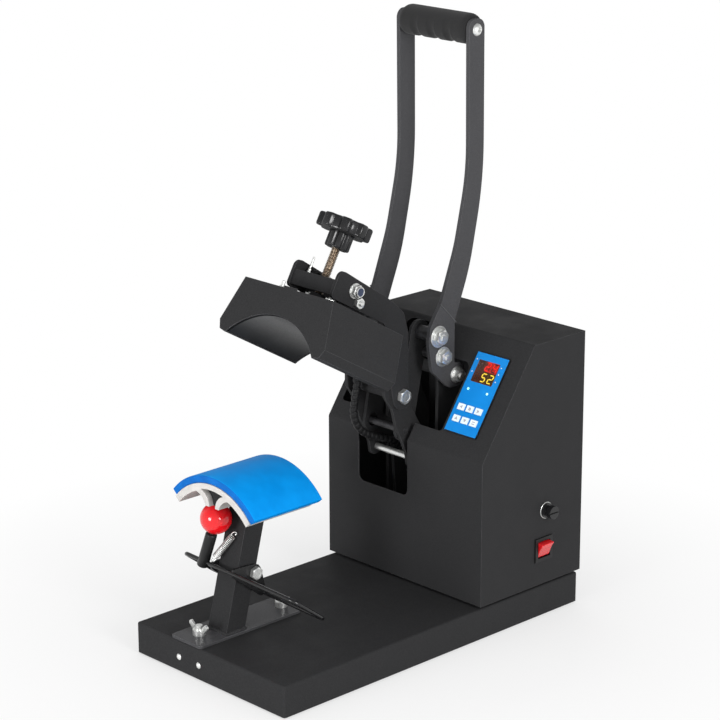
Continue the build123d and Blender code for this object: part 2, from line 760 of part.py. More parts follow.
def hanger_bracket():
    """U bracket on the head's top; its slotted ears ride on the hanger bolts."""
    slot_r = BOLT_R + RUNNING_FIT
    base = block((-EAR_X, HANGER_B - BRACKET_FRONT, 0), (EAR_X, HANGER_B + BRACKET_REAR, BRACKET_T))
    for side in (-1, 1):
        edges = sorted((side * EAR_X, side * (EAR_X - EAR_T)))
        low = (edges[0], HANGER_B - EAR_HALF_W, 0)
        high = (edges[1], HANGER_B + EAR_HALF_W, HANGER_H + EAR_RISE)
        base += block(low, high)
    slot_top = HANGER_H + SLIDE_TRAVEL
    base -= rod((-EAR_X - 1, HANGER_B, HANGER_H), (EAR_X + 1, HANGER_B, HANGER_H), slot_r)
    base -= rod((-EAR_X - 1, HANGER_B, slot_top), (EAR_X + 1, HANGER_B, slot_top), slot_r)
    base -= block((-EAR_X - 1, HANGER_B - slot_r, HANGER_H), (EAR_X + 1, HANGER_B + slot_r, slot_top))
    boss_top = BRACKET_T + 6
    base += rod((0, SCREW_B, BRACKET_T), (0, SCREW_B, boss_top), BOSS_R)
    base -= rod((0, SCREW_B, BRACKET_T), (0, SCREW_B, boss_top + 1), SCREW_R + RUNNING_FIT)
    return HEAD * base


def head_standoffs():
    """Four short studs with nuts that clamp the bracket to the head."""
    pieces = []
    for x in (-CLAMP_STUD_X, CLAMP_STUD_X):
        for b in (HANGER_B - 10, HANGER_B + 8):
            stud = rod((x, b, BRACKET_T), (x, b, BRACKET_T + CLAMP_STUD_H), CLAMP_STUD_R)
            nut = hexagon((x, b, BRACKET_T), (0, 0, 1), CLAMP_NUT_FLATS, CLAMP_NUT_T)
            pieces.append(HEAD * (stud + nut))
    return Compound(children=pieces)


def pressure_screw():
    """Threaded rod that sets how far the head stands off the arm."""
    return HEAD * rod((0, SCREW_B, BRACKET_T + 0.1), (0, SCREW_B, KNOB_H + KNOB_T / 4), SCREW_R)


def star_knob():
    """Eight-lobed knob on a fluted hub, pinned to the screw's top."""
    ring = KNOB_R - KNOB_LOBE_R
    bite = ring + 0.64 * KNOB_SCALLOP_R
    knob = Cylinder(ring, KNOB_T, align=UPRIGHT)
    hub = Pos(0, 0, -KNOB_HUB_L) * Cylinder(KNOB_HUB_R, KNOB_HUB_L, align=UPRIGHT)
    for index in range(KNOB_LOBES):
        angle = 2 * pi * index / KNOB_LOBES
        knob += Pos(ring * cos(angle), ring * sin(angle), 0) * Cylinder(KNOB_LOBE_R, KNOB_T, align=UPRIGHT)
    for index in range(KNOB_LOBES):
        angle = 2 * pi * (index + 0.5) / KNOB_LOBES
        scallop = Cylinder(KNOB_SCALLOP_R, KNOB_T + 2, align=UPRIGHT)
        flute = Cylinder(KNOB_FLUTE_R, KNOB_HUB_L, align=UPRIGHT)
        knob -= Pos(bite * cos(angle), bite * sin(angle), -1) * scallop
        hub -= Pos(KNOB_HUB_R * cos(angle), KNOB_HUB_R * sin(angle), -KNOB_HUB_L) * flute
    bore = Pos(0, 0, -KNOB_HUB_L - 1) * Cylinder(SCREW_R, KNOB_HUB_L + 1 + KNOB_T / 4, align=UPRIGHT)
    return HEAD * (Pos(0, SCREW_B, KNOB_H) * (knob + hub - bore))


# ---- handle ----
HANDLE_BAR = [
    (368.6, 672, 10),
    (392.4, 672, 10),
    (393.6, 492, 400),
    (372.6, 395, 260),
    (349.5, 338, 12),
    (349.5, 288.5, 4),
    (365.5, 287, 10),
    (366.5, 261, 12),
    (342, 260.5, 12),
    (314.5, 285, 14),
    (308.8, 318, 14),
    (311.5, 337, 6),
    (329.5, 363, 18),
    (352, 423, 200),
    (370.3, 503, 260),
]


def right_handle_bar():
    """Flat bar of the handle, cranked at its foot round the three bolts."""
    low = MECH_X + BAR_CENTRE - BAR_T / 2
    bar = side_plate(HANDLE_BAR, low, BAR_T)
    for point in (CRANK_PIN, STOP_PIN, HANDLE_PIVOT):
        bar -= cross_rod(point, low - 1, low + BAR_T + 1, BOLT_R)
    return bar


def grip_tube():
    """Steel tube between the tops of the handle's bars."""
    half = BAR_CENTRE - BAR_T / 2
    return cross_rod(GRIP_CENTRE, MECH_X - half, MECH_X + half, GRIP_TUBE_R)


def foam_grip():
    """Foam sleeve over the grip tube with shallow finger creases underneath."""
    half = BAR_CENTRE - BAR_T / 2 - GRIP_GAP
    grip = cross_rod(GRIP_CENTRE, MECH_X - half, MECH_X + half, GRIP_R)
    grip -= cross_rod(GRIP_CENTRE, MECH_X - half - 1, MECH_X + half + 1, GRIP_TUBE_R)
    y, z = GRIP_CENTRE
    low = z - GRIP_R - GRIP_CREASE_R + GRIP_CREASE_DEPTH
    for index in range(GRIP_CREASES):
        x = MECH_X + (index - (GRIP_CREASES - 1) / 2) * GRIP_CREASE_PITCH
        grip -= rod((x, y - GRIP_R, low), (x, y + GRIP_R, low), GRIP_CREASE_R)
    return grip


def grip_screws():
    """Socket button screws that hold the grip tube between the bars."""
    outer = BAR_CENTRE + BAR_T / 2
    start = (MECH_X + outer, *GRIP_CENTRE)
    screw = dome_screw(start, (1, 0, 0), GRIP_SCREW_R, GRIP_SCREW_H)
    socket_floor = (MECH_X + outer + GRIP_SCREW_H / 3, *GRIP_CENTRE)
    screw -= hexagon(socket_floor, (1, 0, 0), GRIP_SOCKET_FLATS, GRIP_SCREW_H)
    return both_sides(screw)


def handle_bolts():
    """Flanged hex bolts at the handle's foot, on both bars."""
    outer = MECH_X + BAR_CENTRE + BAR_T / 2
    bolts = []
    for point, washer_r in ((CRANK_PIN, 10.5), (STOP_PIN, 9), (HANDLE_PIVOT, 9.5)):
        bolt = cross_rod(point, outer, outer + WASHER_T, washer_r)
        bolt += hexagon((outer + WASHER_T, *point), (1, 0, 0), NUT_FLATS, NUT_T)
        bolts += [bolt, mirrored(bolt)]
    return Compound(children=bolts)


LINK_X = INNER_X - PLATE_T - LINK_GAP


def crank_spacers():
    """Crank pins that carry the drive links, and the stop studs beside them."""
    inner_face = MECH_X + BAR_CENTRE - BAR_T / 2
    outer_face = inner_face + BAR_T
    link_inner = LINK_X - PLATE_T
    play = 0.3
    pin = cross_rod(CRANK_PIN, LINK_X + play, inner_face, CRANK_PIN_R)
    pin += cross_rod(CRANK_PIN, link_inner - play, outer_face, BOLT_R)
    pin += cross_rod(CRANK_PIN, link_inner - NUT_T, link_inner - play, NUT_FLATS / 2)
    stud = cross_rod(STOP_PIN, LINK_X + 2, inner_face, STOP_PIN_R)
    stud += cross_rod(STOP_PIN, inner_face, outer_face, BOLT_R)
    return Compound(children=[pin, mirrored(pin), stud, mirrored(stud)])


def axle_tube():
    """Black tube between the bars that turns in the frame's cheeks."""
    half = BAR_CENTRE - BAR_T / 2
    tube = cross_rod(HANDLE_PIVOT, MECH_X - half, MECH_X + half, AXLE_TUBE_R)
    tube += cross_rod(HANDLE_PIVOT, MECH_X - half - BAR_T, MECH_X + half + BAR_T, BOLT_R)
    return tube


def drive_links():
    """Flat links from the crank pins down to the pin on the arm."""
    eye_y = LINK_PIN[0] + LINK_EYE_OFFSET[0]
    eye_z = LINK_PIN[1] + LINK_EYE_OFFSET[1]
    low = LINK_X - PLATE_T
    along = Vector(eye_y - CRANK_PIN[0], eye_z - CRANK_PIN[1])
    middle = Vector(*CRANK_PIN) + along * 0.5
    angle = degrees(atan2(along.Y, along.X))
    bar = SlotOverall(along.length + 2 * LINK_END_R, 2 * LINK_END_R)
    shape = Pos(middle.X, middle.Y) * Rot(0, 0, angle) * bar
    shape -= Pos(*CRANK_PIN) * Circle(BOLT_R + RUNNING_FIT)
    shape -= Pos(eye_y, eye_z) * Circle(LINK_PIN_R + LINK_EYE_DRIFT)
    shape -= Pos(*KNEE_BOLT) * Circle(SPACER_R + KNEE_RELIEF)
    return both_sides(extrude(Plane.YZ.offset(low) * shape, amount=PLATE_T))


# ---- stand ----
def stand_plate():
    """Flat foot plate of the saddle's stand with an open slot for each stud."""
    low_x = STAND_PLATE_X - STAND_PLATE_W / 2
    plate = block((low_x, 0, BASE_H), (low_x + STAND_PLATE_W, STAND_PLATE_D, BASE_H + STAND_PLATE_T))
    plate = fillet(plate.edges().filter_by(Axis.Z), 4)
    for x, y in STUD_SPOTS:
        plate -= rod((x, y, BASE_H - 1), (x, y, BASE_H + STAND_PLATE_T + 1), STUD_R + STUD_FIT)
    return plate


def stand_studs():
    """Studs that stand up through the base and the foot plate, headed below."""
    studs = []
    under = BASE_H - SHEET
    for x, y in STUD_SPOTS:
        stud = rod((x, y, under - STUD_HEAD_T), (x, y, BASE_H + STUD_HEIGHT), STUD_R)
        studs.append(stud + rod((x, y, under - STUD_HEAD_T), (x, y, under), STUD_HEAD_R))
    return Compound(children=studs)


def wing_nut(x, y):
    """A wing nut with two raised ears."""
    floor = BASE_H + STAND_PLATE_T
    nut = rod((x, y, floor + 0.1), (x, y, floor + 6.5), 7)
    ear = outline([(4, 1.5, 0), (6, 1.5, 0), (16, 11, 2.5), (11.5, 15, 2.5), (4, 6.5, 0)])
    plane = Plane(origin=(x, y - 1.2, floor), x_dir=(1, 0, 0), z_dir=(0, -1, 0))
    right = extrude(plane * ear, amount=-2.4)
    nut += right
    nut += mirror(right, about=Plane.YZ.offset(x))
    return nut - rod((x, y, floor - 1), (x, y, floor + 20), STUD_R + RUNNING_FIT)


def post_y(z):
    """Front face of the leaning post at a height."""
    return POST_FRONT + (z - BASE_H - STAND_PLATE_T) * tan(LEAN)


def stem_prism(half_widths, mid_rise, crown_r, front, rear):
    """A prism with hollow-ground sides that spreads from the stem's foot to the arch."""
    foot, middle, top = half_widths
    mid_z = STEM_FOOT_Z + mid_rise
    top_z = SADDLE_Z + sqrt(crown_r ** 2 - top ** 2)
    crown = (MECH_X, SADDLE_Z + crown_r)
    left = [(MECH_X - foot, STEM_FOOT_Z), (MECH_X - middle, mid_z), (MECH_X - top, top_z)]
    right = [(MECH_X + foot, STEM_FOOT_Z), (MECH_X + middle, mid_z), (MECH_X + top, top_z)]
    plane = Plane(origin=(0, front, 0), x_dir=(1, 0, 0), z_dir=(0, -1, 0))
    face = make_face([
        Line(left[0], right[0]),
        ThreePointArc(*right),
        ThreePointArc(right[2], crown, left[2]),
        ThreePointArc(*reversed(left)),
    ])
    return extrude(plane * face, amount=front - rear)


def stand_post():
    """Square tube that leans back under the saddle, with a cap and a tongue on top."""
    floor = BASE_H + STAND_PLATE_T
    depth = POST_DEPTH / cos(LEAN)
    top = STEM_FOOT_Z - CAP_T
    half = POST_W / 2
    post = side_plate([
        (post_y(floor), floor, 0),
        (post_y(top), top, 0),
        (post_y(top) + depth, top, 0),
        (post_y(floor) + depth, floor, 0),
    ], MECH_X - half, POST_W)
    post += block(
        (MECH_X - half - CAP_LIP, post_y(top) - CAP_LIP, top),
        (MECH_X + half + CAP_LIP, post_y(top) + depth + CAP_LIP, STEM_FOOT_Z),
    )
    crown_r = SADDLE_R - PAD_T - CASTING_T + 1
    front = SADDLE_FRONT + TONGUE_INSET
    rear = SADDLE_REAR - TONGUE_INSET
    post += stem_prism(STEM_TONGUE, HOLLOW_MID_RISE, crown_r, front, rear)
    return post - cross_rod(BAIL_PIVOT, MECH_X - POST_W, MECH_X + POST_W, BOLT_R)


def saddle_arc(radius, half_angle):
    """A pie slice round the saddle's centre, drawn in X and Z."""
    half = radians(half_angle)
    left = (MECH_X - radius * sin(half), SADDLE_Z + radius * cos(half))
    right = (MECH_X + radius * sin(half), SADDLE_Z + radius * cos(half))
    crown = (MECH_X, SADDLE_Z + radius)
    centre = (MECH_X, SADDLE_Z)
    plane = Plane(origin=(0, SADDLE_FRONT, 0), x_dir=(1, 0, 0), z_dir=(0, -1, 0))
    face = make_face([Line(centre, left), ThreePointArc(left, crown, right), Line(right, centre)])
    return extrude(plane * face, amount=SADDLE_FRONT - SADDLE_REAR)


def saddle_bore(radius):
    """The cylinder that hollows the saddle's arch."""
    return rod((MECH_X, SADDLE_FRONT - 1, SADDLE_Z), (MECH_X, SADDLE_REAR + 1, SADDLE_Z), radius)


def silicone_pad():
    """Silicone rubber sheet glued over the saddle."""
    return saddle_arc(SADDLE_R, SADDLE_HALF_ANGLE) - saddle_bore(SADDLE_R - PAD_T)


def saddle_casting():
    """Cast aluminium arch on a hollow stem that sits over the post's tongue."""
    outer_r = SADDLE_R - PAD_T
    inner_r = outer_r - CASTING_T
    casting = saddle_arc(outer_r, SADDLE_HALF_ANGLE) - saddle_bore(inner_r)
    casting += stem_prism(STEM_OUTSIDE, STEM_MID_RISE, inner_r + 1.5, SADDLE_FRONT, SADDLE_REAR)
    hollow_r = inner_r + 1.7
    return casting - stem_prism(STEM_HOLLOW, HOLLOW_MID_RISE, hollow_r, SADDLE_FRONT - 1, SADDLE_REAR + 1)


# ---- hold-down ----
def wire_bail():
    """Closed loop of round wire about the post, welded to two pivot lugs."""
    front_y, front_z = BAIL_FRONT
    rear_y, rear_z = BAIL_REAR
    fall = atan2(front_z - rear_z, rear_y - front_y)
    width = hypot(front_z - rear_z, rear_y - front_y)
    centre = ((BAIL_LEFT + BAIL_RIGHT) / 2, (front_y + rear_y) / 2, (front_z + rear_z) / 2)
    plane = Plane(origin=centre, x_dir=(1, 0, 0), z_dir=(0, sin(fall), cos(fall)))
    length = BAIL_RIGHT - BAIL_LEFT
    loop = RectangleRounded(length, width, width * 0.42).wire()
    path = plane * loop
    start = path @ 0
    section = Plane(origin=start, z_dir=path % 0) * Circle(WIRE_R)
    bail = sweep(section, path=path)
    pivot_y, pivot_z = BAIL_PIVOT
    corners = [
        (front_y - 1, front_z - 4, 2),
        (front_y + 4, front_z + 4, 4),
        (pivot_y - 2, pivot_z + 9, 8),
        (pivot_y + 9, pivot_z + 6, 8),
        (rear_y + 1, rear_z + 3, 3),
        (rear_y - 6, rear_z - 3, 3),
    ]
    lug = side_plate(corners, MECH_X + POST_W / 2 + LUG_GAP, LUG_T)
    bail += lug
    bail += mirrored(lug)
    return bail - cross_rod(BAIL_PIVOT, MECH_X - POST_W, MECH_X + POST_W, BOLT_R + RUNNING_FIT)


def hold_down_bolt():
    """Hex bolt through the post that the bail turns on."""
    reach = POST_W / 2 + LUG_GAP + LUG_T + LUG_GAP
    bolt = cross_rod(BAIL_PIVOT, MECH_X - reach, MECH_X + reach, BOLT_R)
    bolt += hexagon((MECH_X + reach, *BAIL_PIVOT), (1, 0, 0), NUT_FLATS, BOLT_HEAD_T)
    bolt += hexagon((MECH_X - reach, *BAIL_PIVOT), (-1, 0, 0), NUT_FLATS, NUT_T)
    return bolt


LEVER_FOOT = (LEVER_FOOT_X, *BAIL_FRONT)


def lever_sleeve():
    """Black sleeve and stem from the bail's front wire up to the ball."""
    start = Vector(LEVER_FOOT)
    axis = (Vector(BALL_CENTRE) - start).normalized()
    sleeve = rod(start - axis * WIRE_R, start + axis * SLEEVE_L, SLEEVE_R)
    stem = rod(start + axis * SLEEVE_L, Vector(BALL_CENTRE) - axis * STEM_GRIP, STEM_R)
    wire = rod((BAIL_LEFT, *BAIL_FRONT), (MECH_X, *BAIL_FRONT), WIRE_R)
    return sleeve + stem - wire


def red_ball():
    """Plastic ball knob on the hold-down lever."""
    axis = (Vector(BALL_CENTRE) - Vector(LEVER_FOOT)).normalized()
    bore = rod(Vector(BALL_CENTRE) - axis * (BALL_R + 5), Vector(BALL_CENTRE) - axis * STEM_GRIP, STEM_R)
    return Pos(*BALL_CENTRE) * Sphere(BALL_R) - bore


def extension_spring():
    """Envelope of the coil spring that pulls the bail's front wire up."""
    axis = (Vector(SPRING_HIGH) - Vector(SPRING_LOW)).normalized()
    coil_low = Vector(SPRING_LOW) + axis * SPRING_HOOK
    coil_high = Vector(SPRING_HIGH) - axis * SPRING_HOOK
    spring = rod(coil_low, coil_high, SPRING_R)
    spring += rod(SPRING_LOW, coil_low, SPRING_WIRE_R)
    spring += rod(coil_high, SPRING_HIGH, SPRING_WIRE_R)
    return spring


# ---- controls ----
PANEL = SLOPE * Pos(PANEL_X, PANEL_LOW_U, 0)


def panel_block(x, u, width, height, low, high):
    """A box on the controller's face, placed from the plate's lower left corner."""
    return PANEL * (Pos(x, u, (low + high) / 2) * Box(width, height, high - low))


def controller_plate():
    """Face plate with a display window and six key holes."""
    plate = panel_block(PANEL_W / 2, PANEL_H / 2, PANEL_W, PANEL_H, 0, PANEL_T)
    plate = fillet(plate.edges().filter_by(Axis((0, 0, 0), SLOPE.z_dir)), 2)
    plate -= panel_block(*DISPLAY_SPOT, *DISPLAY_SIZE, DISPLAY_SEAT, PANEL_T + 1)
    key_hole = [size + KEY_FIT for size in KEY_SIZE]
    for x in KEY_COLUMNS:
        for u in KEY_ROWS:
            plate -= panel_block(x, u, *key_hole, -1, PANEL_T + 1)
    return plate


def controller_case():
    """Case of the controller behind the slope."""
    width = PANEL_W - 2 * PANEL_BEZEL
    height = PANEL_H - 2 * PANEL_BEZEL
    return panel_block(PANEL_W / 2, PANEL_H / 2, width, height, -CASE_D, -KEY_RISE)


def display_window():
    """Smoked window over the digits."""
    width, height = DISPLAY_SIZE
    return panel_block(*DISPLAY_SPOT, width - 0.2, height - 0.2, DISPLAY_SEAT, PANEL_T + 0.3)


def key(column, row):
    """One push key of the controller."""
    x = KEY_COLUMNS[column]
    u = KEY_ROWS[row]
    return panel_block(x, u, *KEY_SIZE, -0.2, PANEL_T + KEY_RISE)


def rocker_bezel():
    """Frame and body of the power switch in the right side."""
    wall = HOUSING_W / 2
    mouth_half = ROCKER_SIZE / 2 - ROCKER_RIM_W

    def layer(half, low, high):
        """A square box about the switch's middle, from one depth to another."""
        return block((low, ROCKER_Y - half, ROCKER_Z - half), (high, ROCKER_Y + half, ROCKER_Z + half))

    bezel = layer(ROCKER_SIZE / 2, wall, wall + ROCKER_RIM_T)
    bezel += layer(ROCKER_CUTOUT / 2 - PANEL_FIT, wall - SWITCH_DEPTH, wall)
    bezel -= layer(mouth_half, wall - SWITCH_DEPTH * 0.6, wall + ROCKER_RIM_T + 1)
    reach = mouth_half + ROCKER_PIN_L
    left = (wall, ROCKER_Y - reach, ROCKER_Z)
    right = (wall, ROCKER_Y + reach, ROCKER_Z)
    return bezel - rod(left, right, ROCKER_PIN_R + RUNNING_FIT)


def rocker():
    """Rocker cap, with two faces that meet over its pivot pins."""
    wall = HOUSING_W / 2
    mouth_half = ROCKER_SIZE / 2 - ROCKER_RIM_W
    half_y = mouth_half - 0.4
    half_z = mouth_half - 1.1
    plane = Plane(origin=(0, ROCKER_Y - half_y, 0), x_dir=(1, 0, 0), z_dir=(0, -1, 0))
    profile = outline([
        (wall - 5, ROCKER_Z - half_z, 0),
        (wall + 1.2, ROCKER_Z - half_z, 0),
        (wall + 2.4, ROCKER_Z, 0),
        (wall + 5.0, ROCKER_Z + half_z, 0.8),
        (wall - 5, ROCKER_Z + half_z, 0),
    ])
    cap = extrude(plane * profile, amount=-2 * half_y)
    reach = mouth_half + ROCKER_PIN_L - PANEL_FIT
    left = (wall, ROCKER_Y - reach, ROCKER_Z)
    right = (wall, ROCKER_Y + reach, ROCKER_Z)
    return cap + rod(left, right, ROCKER_PIN_R)


def fuse_holder():
    """Panel fuse holder with its washer."""
    wall = HOUSING_W / 2
    holder = cross_rod((FUSE_Y, FUSE_Z), wall, wall + FUSE_WASHER_T, FUSE_WASHER_R)
    holder += cross_rod((FUSE_Y, FUSE_Z), wall - FUSE_DEPTH, wall + FUSE_NECK, FUSE_R - PANEL_FIT)
    return holder


def fuse_cap():
    """Turning cap of the fuse holder, with a screwdriver slot."""
    wall = HOUSING_W / 2
    top = wall + FUSE_REACH
    cap = cross_rod((FUSE_Y, FUSE_Z), wall + FUSE_NECK + 0.1, top, FUSE_CAP_R)
    half = FUSE_SLOT_W / 2
    low = (top - 1.5, FUSE_Y - FUSE_CAP_R - 1, FUSE_Z - half)
    high = (top + 1, FUSE_Y + FUSE_CAP_R + 1, FUSE_Z + half)
    return cap - block(low, high)


# ---- every piece under its name ----
PARTS = {
    "base_pan": base_pan(),
    "base_feet": base_feet(),
    "cover_screws": cover_screws(),
    "housing_shell": housing_shell(),
    "rear_panel": rear_panel(),
    "power_inlet": power_inlet(),
    "frame_cheeks": frame_cheeks(),
    "frame_bolts": frame_bolts(),
    "arm_shaft": arm_shaft(),
    "relay_block": relay_block(),
    "controller_plate": controller_plate(),
    "controller_case": controller_case(),
    "display_window": display_window(),
    "rocker_bezel": rocker_bezel(),
    "rocker": rocker(),
    "fuse_holder": fuse_holder(),
    "fuse_cap": fuse_cap(),
    "stand_plate": stand_plate(),
    "stand_studs": stand_studs(),
    "front_wing_nut": wing_nut(*STUD_SPOTS[0]),
    "rear_wing_nut": wing_nut(*STUD_SPOTS[1]),
    "stand_post": stand_post(),
    "saddle_casting": saddle_casting(),
    "silicone_pad": silicone_pad(),
    "hold_down_bolt": hold_down_bolt(),
    "wire_bail": wire_bail(),
    "lever_sleeve": lever_sleeve(),
    "red_ball": red_ball(),
    "extension_spring": extension_spring(),
    "right_arm_plate": right_arm_plate(),
    "left_arm_plate": mirrored(right_arm_plate()),
    "lower_arm_plates": lower_arm_plates(),
    "arm_spacers": arm_spacers(),
    "arm_bolts": arm_bolts(),
    "arm_cross_pins": arm_cross_pins(),
    "cross_channel": cross_channel(),
    "heater_cable": heater_cable(),
    "head_cover": head_cover(),
    "heater_platen": heater_platen(),
    "insulation_block": insulation_block(),
    "hanger_bracket": hanger_bracket(),
    "head_standoffs": head_standoffs(),
    "pressure_screw": pressure_screw(),
    "star_knob": star_knob(),
    "right_handle_bar": right_handle_bar(),
    "left_handle_bar": mirrored(right_handle_bar()),
    "grip_tube": grip_tube(),
    "foam_grip": foam_grip(),
    "grip_screws": grip_screws(),
    "handle_bolts": handle_bolts(),
    "crank_spacers": crank_spacers(),
    "axle_tube": axle_tube(),
    "drive_links": drive_links(),
}
for row in range(len(KEY_ROWS)):
    for column in range(len(KEY_COLUMNS)):
        PARTS[f"key_{row * len(KEY_COLUMNS) + column + 1}"] = key(column, row)

# The footprint's middle: from the left housing wall to the fuse cap, and from
# the front screws to the inlet's flange.
LOW_X = -HOUSING_W / 2
HIGH_X = HOUSING_W / 2 + FUSE_REACH
LOW_Y = -COVER_SCREW_H
HIGH_Y = HOUSING_REAR + INLET_FLANGE_T
TO_FRAME = Pos(-(LOW_X + HIGH_X) / 2, -(LOW_Y + HIGH_Y) / 2, FOOT_STAND_OFF)

os.makedirs("parts", exist_ok=True)
for name, piece in PARTS.items():
    export_step(TO_FRAME * piece, f"parts/{name}.step")
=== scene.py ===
from math import atan2, cos, pi, radians, sin, sqrt

import bmesh
import bpy
from mathutils import Matrix, Vector


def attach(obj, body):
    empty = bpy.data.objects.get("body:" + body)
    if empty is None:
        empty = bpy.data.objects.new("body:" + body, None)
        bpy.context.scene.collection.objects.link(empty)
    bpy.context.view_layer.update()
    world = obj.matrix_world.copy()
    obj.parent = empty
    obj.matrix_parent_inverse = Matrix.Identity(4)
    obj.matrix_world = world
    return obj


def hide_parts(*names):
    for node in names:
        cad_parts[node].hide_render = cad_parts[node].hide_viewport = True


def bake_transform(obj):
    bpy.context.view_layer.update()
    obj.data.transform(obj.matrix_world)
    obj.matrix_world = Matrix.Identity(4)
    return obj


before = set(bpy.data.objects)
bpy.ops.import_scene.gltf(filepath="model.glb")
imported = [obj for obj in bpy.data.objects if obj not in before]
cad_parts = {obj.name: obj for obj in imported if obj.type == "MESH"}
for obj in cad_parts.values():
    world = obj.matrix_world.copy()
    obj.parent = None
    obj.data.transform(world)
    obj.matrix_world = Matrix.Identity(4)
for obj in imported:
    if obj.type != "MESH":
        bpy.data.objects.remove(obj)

# Cap heat press, dressed for a picture. Sizes are millimetres in the maker's
# own drawing: X = 0 on the middle of the base, Y = 0 at its front face and
# Z = 0 at the lower edge of its pan. MOVE takes them to the model's frame.
MOVE = Vector((-6.5, -229.2, 2.0))
MM = 0.001

# The arm, head and stand share one middle plane. A point of it is (y, z).
MECH_X = -33.0
TILT = radians(29.9)
HEAD_FRONT_TOP = (151.6, 402.3)

# The controller lies on the housing's slope, which starts at its fold. Places on
# its face are (x, u), with u up the slope.
SLANT = atan2(82.0, 119.0)
FOLD = (292.0, 206.0)
PANEL_X = 51.4
PANEL_LOW_U = 24.8
PANEL_W = 48.0
PANEL_H = 96.0
PANEL_T = 2.5
KEY_COLUMNS = (11.0, 24.0, 37.0)
KEY_ROWS = (16.0, 30.0)
KEY_W = 10.0
KEY_H = 7.5
KEY_GAP = 0.4
GLASS_X = 22.9
GLASS_U = 74.2
GLASS_W = 31.6
GLASS_H = 26.4

# The housing's right wall, which carries the switch and the fuse.
WALL_X = 122.0

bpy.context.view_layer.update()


# ---- places ----
def frame_at(origin, axis, across=(1, 0, 0)):
    """Matrix with its origin at a point, its z along an axis and its x near another."""
    z = Vector(axis).normalized()
    x = Vector(across) - z * Vector(across).dot(z)
    x.normalize()
    y = z.cross(x)
    turn = Matrix((x, y, z)).transposed().to_4x4()
    return Matrix.Translation(Vector(origin)) @ turn


HEAD = frame_at((MECH_X, *HEAD_FRONT_TOP), (0, sin(TILT), cos(TILT)))
SLOPE = frame_at((0, *FOLD), (0, -cos(SLANT), sin(SLANT)))
PANEL = SLOPE @ Matrix.Translation(Vector((PANEL_X, PANEL_LOW_U, 0)))


def side(x, point):
    """A (y, z) point of the middle plane, moved across the machine to x."""
    return Vector((x, point[0], point[1]))


def in_scene(name, data):
    """A new object at the origin for a mesh, a curve, a lamp or a camera."""
    made = bpy.data.objects.new(name, data)
    bpy.context.scene.collection.objects.link(made)
    return made


# ---- materials ----
def colour(code):
    """An sRGB hex colour as linear RGBA."""
    levels = [int(code[index:index + 2], 16) / 255 for index in (1, 3, 5)]
    linear = [level / 12.92 if level <= 0.04045 else ((level + 0.055) / 1.055) ** 2.4 for level in levels]
    return (*linear, 1.0)


def per_mm(size):
    """Texture scale, in turns per metre, of a pattern that repeats every so many millimetres."""
    return 1.0 / (size * MM)


def node(tree, kind, inputs=None, **settings):
    """Adds a node, with its settings, and its inputs as values or as sockets to link."""
    made = tree.nodes.new(kind)
    for key, value in settings.items():
        setattr(made, key, value)
    for key, value in (inputs or {}).items():
        if isinstance(value, bpy.types.NodeSocket):
            tree.links.new(value, made.inputs[key])
        else:
            made.inputs[key].default_value = value
    return made


def new_finish(name, **constants):
    """A material with one Principled shader, and constants set on its own sockets."""
    material = bpy.data.materials.new(name)
    material.use_nodes = True
    tree = material.node_tree
    shader = tree.nodes["Principled BSDF"]
    for key, value in constants.items():
        shader.inputs[key.replace("_", " ")].default_value = value
    place = node(tree, "ShaderNodeTexCoord").outputs["Object"]
    return material, tree, shader, place


def mottle(tree, place, size, detail=3.0, roughness=0.55, stretch=(1, 1, 1)):
    """Noise of a size in millimetres, drawn out along an axis where stretch is small."""
    scaled = node(tree, "ShaderNodeMapping", {"Vector": place, "Scale": stretch})
    return node(tree, "ShaderNodeTexNoise", {
        "Vector": scaled.outputs["Vector"],
        "Scale": per_mm(size),
        "Detail": detail,
        "Roughness": roughness,
    }).outputs["Fac"]


def toned(tree, pattern, start, end, dark, light):
    """Colour that goes from dark to light as a pattern goes from start to end."""
    share = node(tree, "ShaderNodeMapRange", {"Value": pattern, "From Min": start, "From Max": end})
    return node(tree, "ShaderNodeMix", {
        0: share.outputs["Result"], 6: colour(dark), 7: colour(light)}, data_type="RGBA").outputs[2]


def lay_skin(tree, shader, tint, gloss, relief, edge=0.0):
    """Gives a shader its colour, roughness and relief, each led by a pattern.

    tint is (pattern, start, end, dark, light), gloss is (pattern, smooth, rough) and relief is
    (pattern, depth, strength). Depth and edge, the radius that eases every edge, are in
    millimetres. Returns the colour and, where edges are eased, their normal.
    """
    body = toned(tree, *tint)
    tree.links.new(body, shader.inputs["Base Color"])
    pattern, smooth, rough = gloss
    shine = node(tree, "ShaderNodeMapRange", {
        "Value": pattern, "From Min": 0.3, "From Max": 0.7, "To Min": smooth, "To Max": rough})
    tree.links.new(shine.outputs["Result"], shader.inputs["Roughness"])
    pattern, depth, strength = relief
    bump = node(tree, "ShaderNodeBump", {
        "Height": pattern, "Distance": depth * MM, "Strength": strength})
    tree.links.new(bump.outputs["Normal"], shader.inputs["Normal"])
    if not edge:
        return body, None
    eased = node(tree, "ShaderNodeBevel", {"Radius": edge * MM}, samples=4).outputs["Normal"]
    tree.links.new(eased, bump.inputs["Normal"])
    return body, eased


